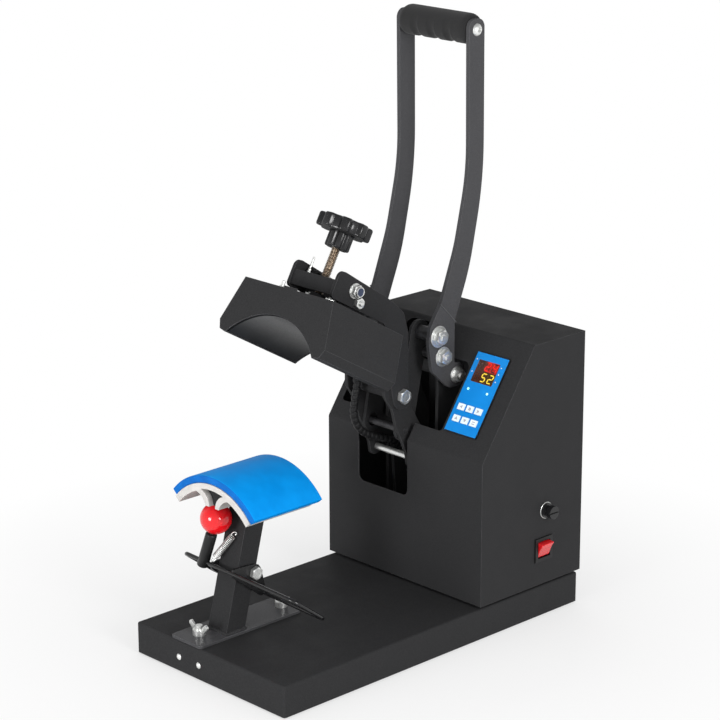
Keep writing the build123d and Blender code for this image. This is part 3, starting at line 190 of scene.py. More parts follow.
def lit_and_worn_edges(tree, eased, cloud):
    """Share of the lighter edge colour, a painted highlight with some wear: full on edges, none on flats,
    and patchy along them.
    """
    facing = node(tree, "ShaderNodeNewGeometry").outputs["Normal"]
    dot = node(tree, "ShaderNodeVectorMath", {0: eased, 1: facing}, operation="DOT_PRODUCT")
    edge = node(tree, "ShaderNodeMapRange", {
        "Value": dot.outputs["Value"], "From Min": 0.86, "From Max": 0.985,
        "To Min": 1.0, "To Max": 0.0})
    patch = node(tree, "ShaderNodeMapRange", {
        "Value": cloud, "From Min": 0.3, "From Max": 0.7, "To Min": 0.35, "To Max": 1.0})
    return node(tree, "ShaderNodeMath", {
        0: edge.outputs["Result"], 1: patch.outputs["Result"]}, operation="MULTIPLY").outputs["Value"]


def coat_with_lit_worn_edges(name, dark, light, rim, rough, grain, edge):
    """Baked powder coat: fine orange peel, cloudy gloss, and lighter on its edges, a painted highlight with
    some rubbed wear.
    """
    material, tree, shader, place = new_finish(name, IOR=1.3, Specular_IOR_Level=0.14)
    cloud = mottle(tree, place, 38.0, detail=2.0)
    speck = mottle(tree, place, grain, detail=2.0, roughness=0.7)
    body, eased = lay_skin(
        tree, shader, tint=(speck, 0.32, 0.72, dark, light),
        gloss=(cloud, rough - 0.06, rough + 0.08), relief=(speck, 0.12, 0.35), edge=edge)
    # Edges go to the rim colour: a painted highlight along them, with some real wear.
    lit_and_worn = node(tree, "ShaderNodeMix", {
        0: lit_and_worn_edges(tree, eased, cloud), 6: body, 7: colour(rim)}, data_type="RGBA")
    tree.links.new(lit_and_worn.outputs[2], shader.inputs["Base Color"])
    return material


# The third colour of each coat is the bright tone of its edges: a painted highlight, with some wear.
# Epoxy powder coat on folded steel: near-black, satin, with a fine sand grain.
# The real grain is about 0.3 mm and is drawn at 1.1 mm so that it shows.
BLACK_COAT = coat_with_lit_worn_edges("powder_coat_black", "#2a2a2b", "#353536", "#5c5c5e", 0.6, 1.1, 0.9)
# The foot plate has a thicker, shinier coat than the folded sheets, and its lighter tone is painted sheen.
PLATE_COAT = coat_with_lit_worn_edges("powder_coat_semi_gloss", "#404042", "#4c4c4e", "#77777a", 0.24, 1.4, 0.8)
# The handle is charcoal rather than black, with the same grain.
HANDLE_COAT = coat_with_lit_worn_edges("powder_coat_charcoal", "#424244", "#4e4e50", "#68686a", 0.56, 1.0, 1.0)
# The head's cover is coated as the housing is, a shade lighter.
HEAD_COAT = coat_with_lit_worn_edges("powder_coat_head", "#2b2b2c", "#363637", "#6a6a6c", 0.6, 1.1, 0.9)


def zinc_plate():
    """Bright zinc plate on steel: silver, hazy, with faint rolling marks."""
    material, tree, shader, place = new_finish("zinc_plated_steel", Metallic=0.84)
    haze = mottle(tree, place, 6.0)
    marks = mottle(tree, place, 0.7, detail=4.0, roughness=0.7)
    lay_skin(
        tree, shader, tint=(haze, 0.3, 0.7, "#d6d8d6", "#f2f2f0"),
        gloss=(marks, 0.24, 0.42), relief=(marks, 0.05, 0.3), edge=0.35)
    return material


def bronzed_thread():
    """Oiled steel thread with a copper-brown cast, blotched with pale painted highlights for its glints."""
    material, tree, shader, place = new_finish("oiled_thread_steel", Metallic=1.0)
    blotches_and_glints = mottle(tree, place, 2.2, detail=4.0)
    # The pale end of the blotches is painted highlight.
    lay_skin(
        tree, shader, tint=(blotches_and_glints, 0.3, 0.72, "#6e5d50", "#dccfbe"),
        gloss=(blotches_and_glints, 0.22, 0.4), relief=(blotches_and_glints, 0.05, 0.25))
    return material


def cast_alloy():
    """Sand-cast aluminium, shot-blasted: pale warm grey with a fine pitted skin."""
    material, tree, shader, place = new_finish("sand_cast_aluminium", Metallic=0.3)
    pits = mottle(tree, place, 0.9, detail=5.0, roughness=0.75)
    cloud = mottle(tree, place, 16.0)
    lay_skin(
        tree, shader, tint=(cloud, 0.3, 0.7, "#c8c5c2", "#dad7d4"),
        gloss=(pits, 0.48, 0.68), relief=(pits, 0.18, 0.45), edge=0.5)
    return material


def nonstick_platen():
    """Cast heating plate under a dark baked non-stick coat, smoother than the powder."""
    material, tree, shader, place = new_finish("nonstick_baked_coat", IOR=1.42)
    peel = mottle(tree, place, 1.6, detail=3.0)
    cloud = mottle(tree, place, 22.0)
    lay_skin(
        tree, shader, tint=(cloud, 0.3, 0.7, "#1b1c1d", "#262729"),
        gloss=(peel, 0.3, 0.42), relief=(peel, 0.05, 0.2))
    return material


def moulded_plastic(name, dark, light, rough, grain, depth, **constants):
    """Moulded plastic with the fine grain of its tool, and softened corners."""
    material, tree, shader, place = new_finish(name, IOR=1.49, **constants)
    grainy = mottle(tree, place, grain, detail=2.0, roughness=0.7)
    cloud = mottle(tree, place, 14.0)
    lay_skin(
        tree, shader, tint=(cloud, 0.3, 0.7, dark, light),
        gloss=(grainy, rough - 0.05, rough + 0.07), relief=(grainy, depth, 0.3), edge=0.4)
    return material


# A wave texture's bands repeat every pi / 10 at a scale of 1.
WAVE_BAND = pi / 10


def silicone_rubber(name, dark, light):
    """Moulded silicone sheet: saturated blue, matte, with a faint cloth print from its mould."""
    material, tree, shader, place = new_finish(name, IOR=1.3, Specular_IOR_Level=0.14)
    # The cloth print is about 0.5 mm and is drawn at 2.76 mm so that it shows.
    threads = [
        node(tree, "ShaderNodeTexWave", {
            "Vector": place, "Scale": per_mm(2.76) * WAVE_BAND, "Distortion": 0.6,
        }, wave_type="BANDS", bands_direction=axis).outputs["Fac"]
        for axis in ("X", "Y")
    ]
    cloth = node(tree, "ShaderNodeMath", {0: threads[0], 1: threads[1]}, operation="MULTIPLY")
    cloud = mottle(tree, place, 24.0)
    lay_skin(
        tree, shader, tint=(cloud, 0.3, 0.7, dark, light),
        gloss=(cloud, 0.5, 0.6), relief=(cloth.outputs["Value"], 0.08, 0.25))
    return material


def foam_rubber():
    """Closed-cell NBR foam: sooty black with open pores on its ground skin."""
    material, tree, shader, place = new_finish(
        "closed_cell_foam", IOR=1.4, Sheen_Weight=0.08, Sheen_Roughness=0.6)
    # Pores are about 0.4 mm and are drawn at 1.2 mm so that they show.
    pores = node(tree, "ShaderNodeTexVoronoi", {
        "Vector": place, "Scale": per_mm(1.2), "Randomness": 1.0}).outputs["Distance"]
    cloud = mottle(tree, place, 9.0)
    lay_skin(
        tree, shader, tint=(cloud, 0.3, 0.7, "#131314", "#1c1c1d"),
        gloss=(cloud, 0.78, 0.92), relief=(pores, 0.25, 0.5))
    return material


def membrane_print():
    """Screen-printed polyester over the controller: clean blue with a fine velvet grain."""
    material, tree, shader, place = new_finish("membrane_print_blue", IOR=1.38)
    grain = mottle(tree, place, 0.8, detail=2.0)
    cloud = mottle(tree, place, 30.0)
    lay_skin(
        tree, shader, tint=(cloud, 0.25, 0.75, "#0680d2", "#108ce0"),
        gloss=(grain, 0.34, 0.46), relief=(grain, 0.03, 0.2))
    return material


def lamp(name, dark, light, strength):
    """Light-emitting segment or lens: a tinted diffuser that glows a little unevenly."""
    material, tree, shader, place = new_finish(name, Roughness=0.35, Emission_Strength=strength)
    tint = toned(tree, mottle(tree, place, 1.5), 0.3, 0.7, dark, light)
    tree.links.new(tint, shader.inputs["Base Color"])
    tree.links.new(tint, shader.inputs["Emission Color"])
    return material


def braided_sleeving():
    """Glass-fibre sleeving under a black varnish, wound round with a spiral wrap."""
    material, tree, shader, place = new_finish(
        "varnished_glass_sleeving", IOR=1.4, Specular_IOR_Level=0.25)
    strands = mottle(tree, place, 0.9, detail=3.0, stretch=(1, 0.35, 0.35))
    lay_skin(
        tree, shader, tint=(strands, 0.3, 0.75, "#111112", "#252526"),
        gloss=(strands, 0.4, 0.6), relief=(strands, 0.2, 0.5))
    return material


def ceramic_blanket():
    """Ceramic-fibre blanket: off-white, felted and lumpy."""
    material, tree, shader, place = new_finish("ceramic_fibre_blanket", Sheen_Weight=0.3)
    fibres = mottle(tree, place, 1.2, detail=6.0, roughness=0.8, stretch=(1, 0.3, 1))
    lay_skin(
        tree, shader, tint=(fibres, 0.3, 0.7, "#c9c3b4", "#ece7da"),
        gloss=(fibres, 0.85, 1.0), relief=(fibres, 0.6, 0.8))
    return material


def phosphated_steel():
    """Phosphated and oiled steel: nearly black, with a dull metal sheen."""
    material, tree, shader, place = new_finish("phosphated_steel", Metallic=0.5)
    cloud = mottle(tree, place, 4.0, detail=4.0)
    lay_skin(
        tree, shader, tint=(cloud, 0.3, 0.7, "#2e2e30", "#48484a"),
        gloss=(cloud, 0.4, 0.58), relief=(cloud, 0.04, 0.25), edge=0.4)
    return material


ZINC = zinc_plate()
PHOSPHATE = phosphated_steel()
THREAD = bronzed_thread()
ALLOY = cast_alloy()
PLATEN = nonstick_platen()
SILICONE = silicone_rubber("silicone_rubber_blue", "#008ade", "#0496ea")
# A darker copy of the blue for the pad's front and rear faces: painted shade.
SILICONE_SHADED_FACES = silicone_rubber("silicone_rubber_shaded_faces", "#0f5fb2", "#1470c6")
FOAM = foam_rubber()
MEMBRANE = membrane_print()
SLEEVING = braided_sleeving()
BLANKET = ceramic_blanket()
# Phenolic, buffed after moulding: deep black with a sharp gloss.
PHENOLIC = moulded_plastic(
    "polished_phenolic_black", "#161617", "#222224", 0.16, 2.5, 0.02, Specular_IOR_Level=0.4)
# Nylon from an etched tool: black with a satin grain.
NYLON = moulded_plastic(
    "satin_nylon_black", "#141415", "#1e1e1f", 0.4, 0.8, 0.05, Specular_IOR_Level=0.3)
# Gloss enamel, dipped on the bail's wire: a thick, wet-looking black.
ENAMEL = moulded_plastic("gloss_enamel_black", "#121213", "#1c1c1d", 0.22, 1.5, 0.03)
# Moulded rubber: grey-black and quite dull.
RUBBER = moulded_plastic("moulded_rubber_black", "#19191a", "#242425", 0.75, 1.0, 0.12)
# Phenolic ball, tumbled and waxed: strong red with a hard round highlight.
BALL_RED = moulded_plastic(
    "polished_phenolic_red", "#d90c16", "#e6161f", 0.1, 3.0, 0.02, Coat_Weight=0.3)
# Tinted polycarbonate: clear-coated red that lets a little light in.
SWITCH_RED = moulded_plastic(
    "tinted_polycarbonate_red", "#c80d14", "#e0222a", 0.25, 1.5, 0.03,
    Coat_Weight=0.3, Subsurface_Weight=0.1, Subsurface_Scale=0.002)
# Key caps in pale plastic with a cool, even sheen, and the grey ink of their signs.
KEY_CAP = moulded_plastic("key_cap_pale", "#dcf0fc", "#f0faff", 0.38, 0.8, 0.03)
KEY_INK = moulded_plastic("key_ink_grey", "#a3a3b2", "#b6b5c2", 0.5, 0.8, 0.01)
# Smoked acrylic, lit from behind: warm brown and smooth.
SMOKED = moulded_plastic("smoked_acrylic", "#4a281f", "#5c3527", 0.2, 2.0, 0.01)
# Nylon ring of a lock nut: dull ink blue.
NYLOC_BLUE = moulded_plastic("nylon_lock_ring_blue", "#222c44", "#303c58", 0.4, 0.9, 0.05)
# Moulded white of the small lenses that aren't lit.
LENS_WHITE = moulded_plastic("moulded_mark_white", "#e6e2e0", "#f4f1ef", 0.45, 0.8, 0.01)
# Tinted epoxy over light-emitting chips: soft bars and dots of light, dark where off.
LIT_RED = lamp("segment_lit_red", "#c81810", "#dc2418", 0.5)
LIT_YELLOW = lamp("segment_lit_yellow", "#d6b22c", "#ecd04c", 0.6)
LIT_GREEN = lamp("lens_lit_green", "#7be8b4", "#d2fff0", 0.9)
UNLIT = lamp("segment_unlit", "#2c1712", "#38201a", 0.0)
# What the smoked window scatters of that light round the digits.
HALO_RED = lamp("diffuser_halo_red", "#86140f", "#a81a12", 0.45)
HALO_AMBER = lamp("diffuser_halo_amber", "#3c2a0c", "#4c380f", 0.15)

# The finish of each node that shows, and of some that a finer piece replaces further on.
FINISHES = {
    BLACK_COAT: (
        "base_pan", "housing_shell", "rear_panel", "frame_cheeks", "stand_post", "right_arm_plate",
        "left_arm_plate", "lower_arm_plates", "cross_channel", "drive_links", "arm_spacers",
        "axle_tube", "grip_tube"),
    HEAD_COAT: ("head_cover",),
    PLATE_COAT: ("stand_plate",),
    HANDLE_COAT: ("right_handle_bar", "left_handle_bar"),
    ZINC: (
        "cover_screws", "frame_bolts", "arm_shaft", "stand_studs", "hold_down_bolt", "arm_bolts",
        "grip_screws", "handle_bolts", "front_wing_nut", "rear_wing_nut", "head_standoffs",
        "extension_spring"),
    PHOSPHATE: ("crank_spacers",),
    RUBBER: ("base_feet",),
    FOAM: ("foam_grip",),
    NYLON: (
        "power_inlet", "relay_block", "controller_case", "controller_plate", "rocker_bezel"),
    PHENOLIC: ("star_knob", "fuse_holder", "fuse_cap"),
    SMOKED: ("display_window",),
    KEY_CAP: tuple(f"key_{number}" for number in range(1, 7)),
    BALL_RED: ("red_ball",),
    ALLOY: ("saddle_casting",),
    PLATEN: ("heater_platen",),
    SILICONE: ("silicone_pad",),
    THREAD: ("pressure_screw",),
    SLEEVING: ("heater_cable",),
    BLANKET: ("insulation_block",),
}
for finish, names in FINISHES.items():
    for name in names:
        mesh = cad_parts[name].data
        mesh.materials.clear()
        mesh.materials.append(finish)


# ---- shells ----
SEGMENTS = 48
TURN = [2 * pi * index / SEGMENTS for index in range(SEGMENTS)]


def shells(name, groups, finish, body, crease=35.0, looped=False):
    """One piece from groups of rings of points, each skinned, then capped or joined end to end."""
    made = bmesh.new()
    for rings in groups:
        rows = [[made.verts.new((point + MOVE) * MM) for point in ring] for ring in rings]
        count = len(rows[0])
        following = rows[1:] + rows[:1] if looped else rows[1:]
        for low, high in zip(rows, following):
            for index in range(count):
                after = (index + 1) % count
                made.faces.new((low[index], low[after], high[after], high[index]))
        if not looped:
            made.faces.new(list(reversed(rows[0])))
            made.faces.new(rows[-1])
    bmesh.ops.recalc_face_normals(made, faces=made.faces)
    for face in made.faces:
        face.smooth = True
    mesh = bpy.data.meshes.new(name)
    made.to_mesh(mesh)
    made.free()
    mesh.set_sharp_from_angle(angle=radians(crease))
    mesh.materials.append(finish)
    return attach(in_scene(name, mesh), body)


def placed(place, rows):
    """Rings moved from a local frame to the machine's."""
    return [[place @ point for point in row] for row in rows]


def polar(radius, angle, height):
    """A point at a radius, an angle and a height about the z axis."""
    return Vector((radius * cos(angle), radius * sin(angle), height))


def round_row(radius, height):
    """A circle of points at a height."""
    return [polar(radius, angle, height) for angle in TURN]


def hex_row(flats, height, chamfered=False):
    """A hexagon of points at a height, its corners cut down by a chamfer cone."""
    row = []
    for angle in TURN:
        swing = (angle + pi / 6) % (pi / 3) - pi / 6
        radius = flats / 2 / cos(swing)
        drop = (radius - flats / 2) * 0.6 if chamfered else 0.0
        row.append(polar(radius, angle, height - drop))
    return row


def turned(profile):
    """Rings of a turned piece from (radius, height) pairs."""
    return [round_row(radius, height) for radius, height in profile]


def dome(radius, height, steps=8):
    """Profile of a low dome that stands on its rim."""
    ball = (radius ** 2 + height ** 2) / (2 * height)
    top = atan2(radius, ball - height)
    angles = [top * (1 - step / steps) for step in range(steps + 1)]
    return [(max(ball * sin(angle), 0.02), ball * cos(angle) - ball + height) for angle in angles]


def tube(points, radius, count=16, ripple=None):
    """Rings of a tube along points; ripple(distance, angle) adds to its radius."""
    points = [Vector(point) for point in points]
    rings = []
    across = None
    distance = 0.0
    for index, point in enumerate(points):
        ahead = points[min(index + 1, len(points) - 1)] - points[max(index - 1, 0)]
        ahead.normalize()
        if across is None:
            across = ahead.orthogonal().normalized()
        across = (across - ahead * across.dot(ahead)).normalized()
        up = ahead.cross(across)
        if index:
            distance += (point - points[index - 1]).length
        ring = []
        for step in range(count):
            angle = 2 * pi * step / count
            reach = radius + (ripple(distance, angle) if ripple else 0.0)
            ring.append(point + (across * cos(angle) + up * sin(angle)) * reach)
        rings.append(ring)
    return rings


def rounded_section(width, height, corner, steps=5):
    """Points of a rounded rectangle, its middle at the origin."""
    points = []
    for x, z, start in ((1, 1, 0.0), (-1, 1, pi / 2), (-1, -1, pi), (1, -1, 3 * pi / 2)):
        for step in range(steps + 1):
            angle = start + pi / 2 * step / steps
            points.append((
                x * (width / 2 - corner) + corner * cos(angle),
                z * (height / 2 - corner) + corner * sin(angle)))
    return points


def smooth_line(points, steps):
    """Smooth line through a few points, as a Catmull-Rom spline."""
    points = [Vector(point) for point in points]
    padded = [points[0] * 2 - points[1], *points, points[-1] * 2 - points[-2]]
    line = []
    for first, second, third, fourth in zip(padded, padded[1:], padded[2:], padded[3:]):
        for step in range(steps):
            t = step / steps
            line.append(0.5 * (
                second * 2 + (third - first) * t
                + (first * 2 - second * 5 + third * 4 - fourth) * t * t
                + (second * 3 - first - third * 3 + fourth) * t ** 3))
    line.append(points[-1])
    return line


# ---- pressure screw and knob ----
SCREW_B = 45.0
SCREW_FRAME = HEAD @ Matrix.Translation(Vector((0, SCREW_B, 0)))
THREAD_LOW = 3.1
THREAD_HIGH = 66.0
THREAD_PITCH = 1.75
THREAD_ROOT_R = 4.05
THREAD_DEPTH = 0.95
RINGS_A_PITCH = 7
KNOB_H = 80.0
KNOB_T = 15.0
KNOB_R = 30.8
KNOB_VALLEY_R = 26.6
KNOB_LOBES = 8
KNOB_STEPS = 200
HUB_R = 14.0
HUB_FLUTES = 8
HUB_FLUTE_DEPTH = 2.2
HUB_STEPS = 160
SCREW_BORE_R = 5.2

# Rings of the knob from its bore up to its middle: each is a share of the lobed rim,
# the plain radius of the rest, the inset from the rim and the height.
KNOB_SECTION = (
    (0, SCREW_BORE_R, 0, 0.4),
    (0, HUB_R, 0, 0.4),
    (0.5, 20, 2, 0.0),
    (1, 0, 1.6, 0.0),
    (1, 0, 0.5, 0.5),
    (1, 0, 0.0, 1.7),
    (1, 0, 0.0, KNOB_T - 2.4),
    (1, 0, 0.35, KNOB_T - 1.2),
    (1, 0, 1.2, KNOB_T - 0.35),
    (1, 0, 2.6, KNOB_T),
    (0.8, 20, 5.0, KNOB_T - 0.4),
    (0.3, 18, 6.0, KNOB_T - 1.8),
    (0, 14, 0, KNOB_T - 2.2),
    (0, 11.4, 0, KNOB_T - 2.0),
    (0, 10.8, 0, KNOB_T - 0.9),
    (0, 9, 0, KNOB_T - 0.3),
    (0, 4, 0, KNOB_T),
    (0, 0.1, 0, KNOB_T),
)
# Rings of the hub below the knob: radius, height and depth of the flutes.
HUB_SECTION = (
    (SCREW_BORE_R, -18, 0),
    (12.8, -18, 1.4),
    (13.6, -17.4, 2.0),
    (HUB_R, -16.6, HUB_FLUTE_DEPTH),
    (HUB_R, -2.0, HUB_FLUTE_DEPTH),
    (HUB_R, 0.6, HUB_FLUTE_DEPTH),
)


def pressure_thread():
    """The long screw with its cut thread, from the head's boss up into the knob."""
    step = THREAD_PITCH / RINGS_A_PITCH
    rows = []
    for index in range(int((THREAD_HIGH - THREAD_LOW) / step) + 1):
        height = THREAD_LOW + index * step
        row = []
        for angle in TURN[::2]:
            phase = (height / THREAD_PITCH - angle / (2 * pi)) % 1.0
            crest = abs(phase * 2 - 1)
            radius = THREAD_ROOT_R + THREAD_DEPTH * min(1.0, max(0.0, crest * 1.25 - 0.1))
            row.append(polar(radius, angle, height))
        rows.append(row)
    piece = shells("pressure_thread", [placed(SCREW_FRAME, rows)], THREAD, "screw", 60)
    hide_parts("pressure_screw")
    return piece


def lobed(angle):
    """Radius of the knob's rim at an angle."""
    swing = cos(KNOB_LOBES * angle)
    wave = 0.5 + 0.5 * max(-1.0, min(1.0, swing * 2.2))
    return KNOB_VALLEY_R + (KNOB_R - KNOB_VALLEY_R) * wave


def knob_row(share, plain, inset, height):
    """A ring between a plain circle and the lobed rim."""
    row = []
    for index in range(KNOB_STEPS):
        angle = 2 * pi * index / KNOB_STEPS
        radius = share * (lobed(angle) - inset) + (1 - share) * plain
        row.append(polar(radius, angle, height))
    return row


def fluted_row(radius, height, depth):
    """A ring of the hub, cut in by its flutes."""
    row = []
    for index in range(HUB_STEPS):
        angle = 2 * pi * index / HUB_STEPS
        flute = min(1.0, (0.5 + 0.5 * cos(HUB_FLUTES * angle)) * 1.8)
        reach = radius - depth * (1 - flute)
        row.append(polar(reach, angle, height))
    return row


def star_knob_moulding():
    """Lobed phenolic knob with eased rims, a dished face and a fluted hub."""
    knob = [knob_row(*ring) for ring in KNOB_SECTION]
    hub = [fluted_row(*ring) for ring in HUB_SECTION]
    place = SCREW_FRAME @ Matrix.Translation(Vector((0, 0, KNOB_H)))
    piece = shells("star_knob_moulding", [placed(place, knob), placed(place, hub)], PHENOLIC, "screw", 40)
    # The underside takes the dull rubber finish, a painted shade that keeps the floor from mirroring in it,
    # and the rest is polished.
    piece.data.materials.append(RUBBER)
    axis = SCREW_FRAME.to_3x3() @ Vector((0, 0, 1))
    for face in piece.data.polygons:
        face.material_index = 1 if face.normal.dot(axis) < -0.7 else 0
    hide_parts("star_knob")
    return piece


pressure_thread()
star_knob_moulding()


# ---- bolts and nuts ----
ARM_PLATE_X = 36.0
ARM_INNER_X = 32.0
BAR_FACE_X = 56.0
BAIL_BOLT_X = 18.8
KNEE_BOLT = (288.0, 258.7)
HANGER_B = 58.9
HANGER_H = 24.8
HANGER = tuple((HEAD @ Vector((0, HANGER_B, HANGER_H))).yz)
PLATE_NUT = tuple((HEAD @ Vector((0, 70.0, 14.5))).yz)
TIE_ROD = (310.5, 179.0)
LINK_PIN = (296.4, 215.0)
CRANK_PIN = (323.5, 324.6)
STOP_PIN = (330.4, 300.0)
HANDLE_PIVOT = (352.7, 274.8)
BAIL_PIVOT = (80.0, 101.5)
BOLT_R = 4.0
BOLT_END_R = 3.9
ROD_R = 4.0
KNEE_SHANK = 8.2
HANGER_SHANK = 11.2
COLLAR_R = 6.0
COLLAR_T = 2.0

# Where each of the handle's bolts is, the radius of its washer, the width across
# its flats and how far its head is turned.
HANDLE_BOLTS = (
    (CRANK_PIN, 12.4, 16, 0.2),
    (STOP_PIN, 11.4, 15, 0.5),
    (HANDLE_PIVOT, 9.6, 13, 0.05),
)
# Turned profiles, as (radius, height) pairs.
BOLT_FLANGE = [(BOLT_R, 1.6), (8.6, 1.6), (9.1, 1.9), (8.6, 2.6), (BOLT_R, 3.0)]
LOCK_NUT_CROWN = [(6.1, 6.6), (5.9, 6.9), (5.8, 8.9), (5.3, 9.5), (4.6, 9.3), (4.6, 8.6), (0.1, 8.6)]
LOCK_RING = [(4.6, 8.5), (4.5, 9.1), (0.1, 9.1)]
ARM_STUD = [
    (2.4, 0), (2.4, 3.2), (2.0, 3.6), (2.0, 6.0), (1.3, 6.4), (1.3, 19.6), (0.8, 20)]
HEAD_SCREW = [(3.4, 0.1), (3.4, 1.0), (3.0, 1.3), (1.9, 1.3), (1.9, 6.8), (1.4, 7.4), (0.3, 7.4)]
# Their places on the head's top: across, back and up.
STUD_SPOT = (-26.8, 45.0, 27.0)
HEAD_SCREW_SPOT = (-15.0, 4.0, 0.0)


def washer(radius, bore, low, high):
    """Rings of a flat washer with eased rims."""
    return turned([
        (bore, low), (radius - 0.25, low), (radius, low + 0.25),
        (radius, high - 0.3), (radius - 0.35, high), (bore, high)])


def hex_head(flats, low, high, end_r=0.0, end_h=0.0):
    """Chamfered hexagon, with a thread end standing out of it where it is a nut."""
    rows = [hex_row(flats, low), hex_row(flats, high, True), round_row(flats * 0.475, high)]
    if end_r:
        rows += turned([
            (end_r + 0.9, high), (end_r + 0.4, high - 0.5), (end_r, high - 0.5),
            (end_r, high + end_h - 0.7), (end_r - 0.7, high + end_h), (0.1, high + end_h)])
    else:
        rows += turned([(flats * 0.36, high), (flats * 0.34, high - 0.25), (0.1, high - 0.25)])
    return rows


def outward(x_off, point, way, spin=0.0):
    """Frame on one side of the mechanism that looks outwards."""
    place = frame_at(side(MECH_X + way * x_off, point), (way, 0, 0), (0, 0, 1))
    return place @ Matrix.Rotation(spin, 4, "Z")


def rod(place, radius, length):
    """Rings of a plain round bar from a place outwards."""
    return placed(place, turned([(radius, 0), (radius, length)]))


def handle_fasteners():
    """Flanged hex bolts and washers on both of the handle's bars."""
    groups = []
    for point, washer_r, flats, spin in HANDLE_BOLTS:
        for way in (-1, 1):
            place = outward(BAR_FACE_X, point, way, spin)
            end_r = BOLT_END_R if way > 0 else 0.0
            groups.append(placed(place, washer(washer_r, BOLT_R, 0.0, 1.6)))
            groups.append(placed(place, turned(BOLT_FLANGE)))
            groups.append(placed(place, hex_head(flats, 2.4, 8.0, end_r, 1.6)))
    piece = shells("handle_fasteners", groups, ZINC, "handle")
    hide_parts("handle_bolts")
    return piece


def arm_fasteners():
    """Knee bolt through both plates, the two lock-nutted hanger bolts, and a nut and a stud."""
    groups = []
    for way, end_r in ((1, 0.0), (-1, BOLT_END_R)):
        knee = outward(ARM_PLATE_X, KNEE_BOLT, way, 0.35)
        groups.append(placed(knee, hex_head(15, 0.0, 5.8, end_r, 2.2)))
        groups.append(rod(outward(ARM_PLATE_X - KNEE_SHANK, KNEE_BOLT, way), BOLT_END_R, KNEE_SHANK))
        hanger = outward(ARM_PLATE_X, HANGER, way, 0.1)
        groups.append(placed(hanger, washer(8.6, BOLT_R, 0.0, 1.2)))
        lock_nut = [hex_row(13, 1.2), hex_row(13, 6.6, True)] + turned(LOCK_NUT_CROWN)
        groups.append(placed(hanger, lock_nut))
        groups.append(rod(outward(ARM_PLATE_X - HANGER_SHANK, HANGER, way), BOLT_R, HANGER_SHANK))
        collar = outward(ARM_PLATE_X - HANGER_SHANK - COLLAR_T, HANGER, way)
        groups.append(rod(collar, COLLAR_R, COLLAR_T))
    groups.append(placed(outward(ARM_PLATE_X, PLATE_NUT, 1, 0.2), hex_head(11, 0.0, 4.6, 2.8, 2.2)))
    groups.append(placed(HEAD @ Matrix.Translation(Vector(STUD_SPOT)), turned(ARM_STUD)))
    piece = shells("arm_fasteners", groups, ZINC, "arm")
    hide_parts("arm_bolts")
    return piece


def lock_nut_rings():
    """Blue nylon rings in the crowns of the hanger bolts' nuts."""
    rings = [placed(outward(ARM_PLATE_X, HANGER, way), turned(LOCK_RING)) for way in (1, -1)]
    return shells("lock_nut_rings", rings, NYLOC_BLUE, "arm")


def bail_fasteners():
    """Hex bolt and nut that the wire bail turns on."""
    groups = []
    for way, high, end_r in ((1, 5.3, 0.0), (-1, 6.5, BOLT_END_R)):
        place = outward(BAIL_BOLT_X, BAIL_PIVOT, way, 0.3)
        groups.append(placed(place, hex_head(13, 0.0, high, end_r, 1.0)))
    groups.append(rod(outward(BAIL_BOLT_X, BAIL_PIVOT, -1), BOLT_R, -2 * BAIL_BOLT_X))
    piece = shells("bail_fasteners", groups, ZINC, "frame")
    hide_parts("hold_down_bolt")
    return piece


def cross_pins():
    """Bright tie rod between the lower plates, and the dark pin that the links push on."""
    rods = [rod(outward(ARM_INNER_X, point, 1), ROD_R, -2 * ARM_INNER_X) for point in (TIE_ROD, LINK_PIN)]
    piece = shells("cross_pins", rods, ZINC, "arm")
    piece.data.materials.append(PHOSPHATE)
    border = ((TIE_ROD[1] + LINK_PIN[1]) / 2 + MOVE.z) * MM
    for face in piece.data.polygons:
        face.material_index = 1 if face.center.z > border else 0
    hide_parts("arm_cross_pins")
    return piece


def head_screw():
    """Small bright screw that stands on the head's top, beside the channel."""
    rows = placed(HEAD @ Matrix.Translation(Vector(HEAD_SCREW_SPOT)), turned(HEAD_SCREW))
    return shells("head_screw", [rows], ZINC, "head")


handle_fasteners()
arm_fasteners()
lock_nut_rings()
bail_fasteners()
cross_pins()
head_screw()


# ---- hanger bracket ----
EAR_X = 28.0
EAR_T = 3.0
EAR_W = 18.0
EAR_TOP = HANGER_H + 10.4
EAR_CORNER = 4.5
SLOT_W = 8.6
SLOT_RUN = 4.5
FOOT_RUN = 30.0
FOOT_CORNER = 1.2
BOSS = [(9.0, 2.9), (9.0, 8.6), (8.5, 9.0), (5.3, 9.0)]


def slotted_bracket():
    """U bracket on the head's top, its rounded ears slotted for the hanger bolts."""
    outer = rounded_section(EAR_W, EAR_TOP, EAR_CORNER)
    slot = rounded_section(SLOT_W, SLOT_W + SLOT_RUN, SLOT_W / 2 - 0.01)
    outer_h = EAR_TOP / 2
    slot_h = HANGER_H + SLOT_RUN / 2
    inner_x = EAR_X - EAR_T
    ears = []
    for way in (-1, 1):
        rings = [
            [Vector((way * across, HANGER_B + b, middle + h)) for b, h in outline]
            for outline, middle, across in (
                (outer, outer_h, inner_x), (outer, outer_h, EAR_X),
                (slot, slot_h, EAR_X), (slot, slot_h, inner_x))]
        ears.append(placed(HEAD, rings))
    piece = shells("bracket_ears", ears, BLACK_COAT, "head", looped=True)
    foot = HEAD @ Matrix.Translation(Vector((0, HANGER_B - 1.0, 0)))
    corners = rounded_section(2 * EAR_X, FOOT_RUN, FOOT_CORNER)
    base = placed(foot, [[Vector((x, b, height)) for x, b in corners] for height in (0.05, EAR_T)])
    boss = placed(SCREW_FRAME, turned(BOSS))
    piece = shells("bracket_foot", [base, boss], BLACK_COAT, "head")
    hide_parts("hanger_bracket")
    return piece


slotted_bracket()


# ---- wire bail ----
# The loop's front and rear wires in (y, z), and how far it reaches to each side.
BAIL_FRONT = (50.0, 108.0)
BAIL_REAR = (95.0, 74.0)
BAIL_LEFT = -98.0
BAIL_RIGHT = 82.0
BAIL_CORNER = 10.0
BAIL_WIRE_R = 2.3
BAIL_TILT = 0.03
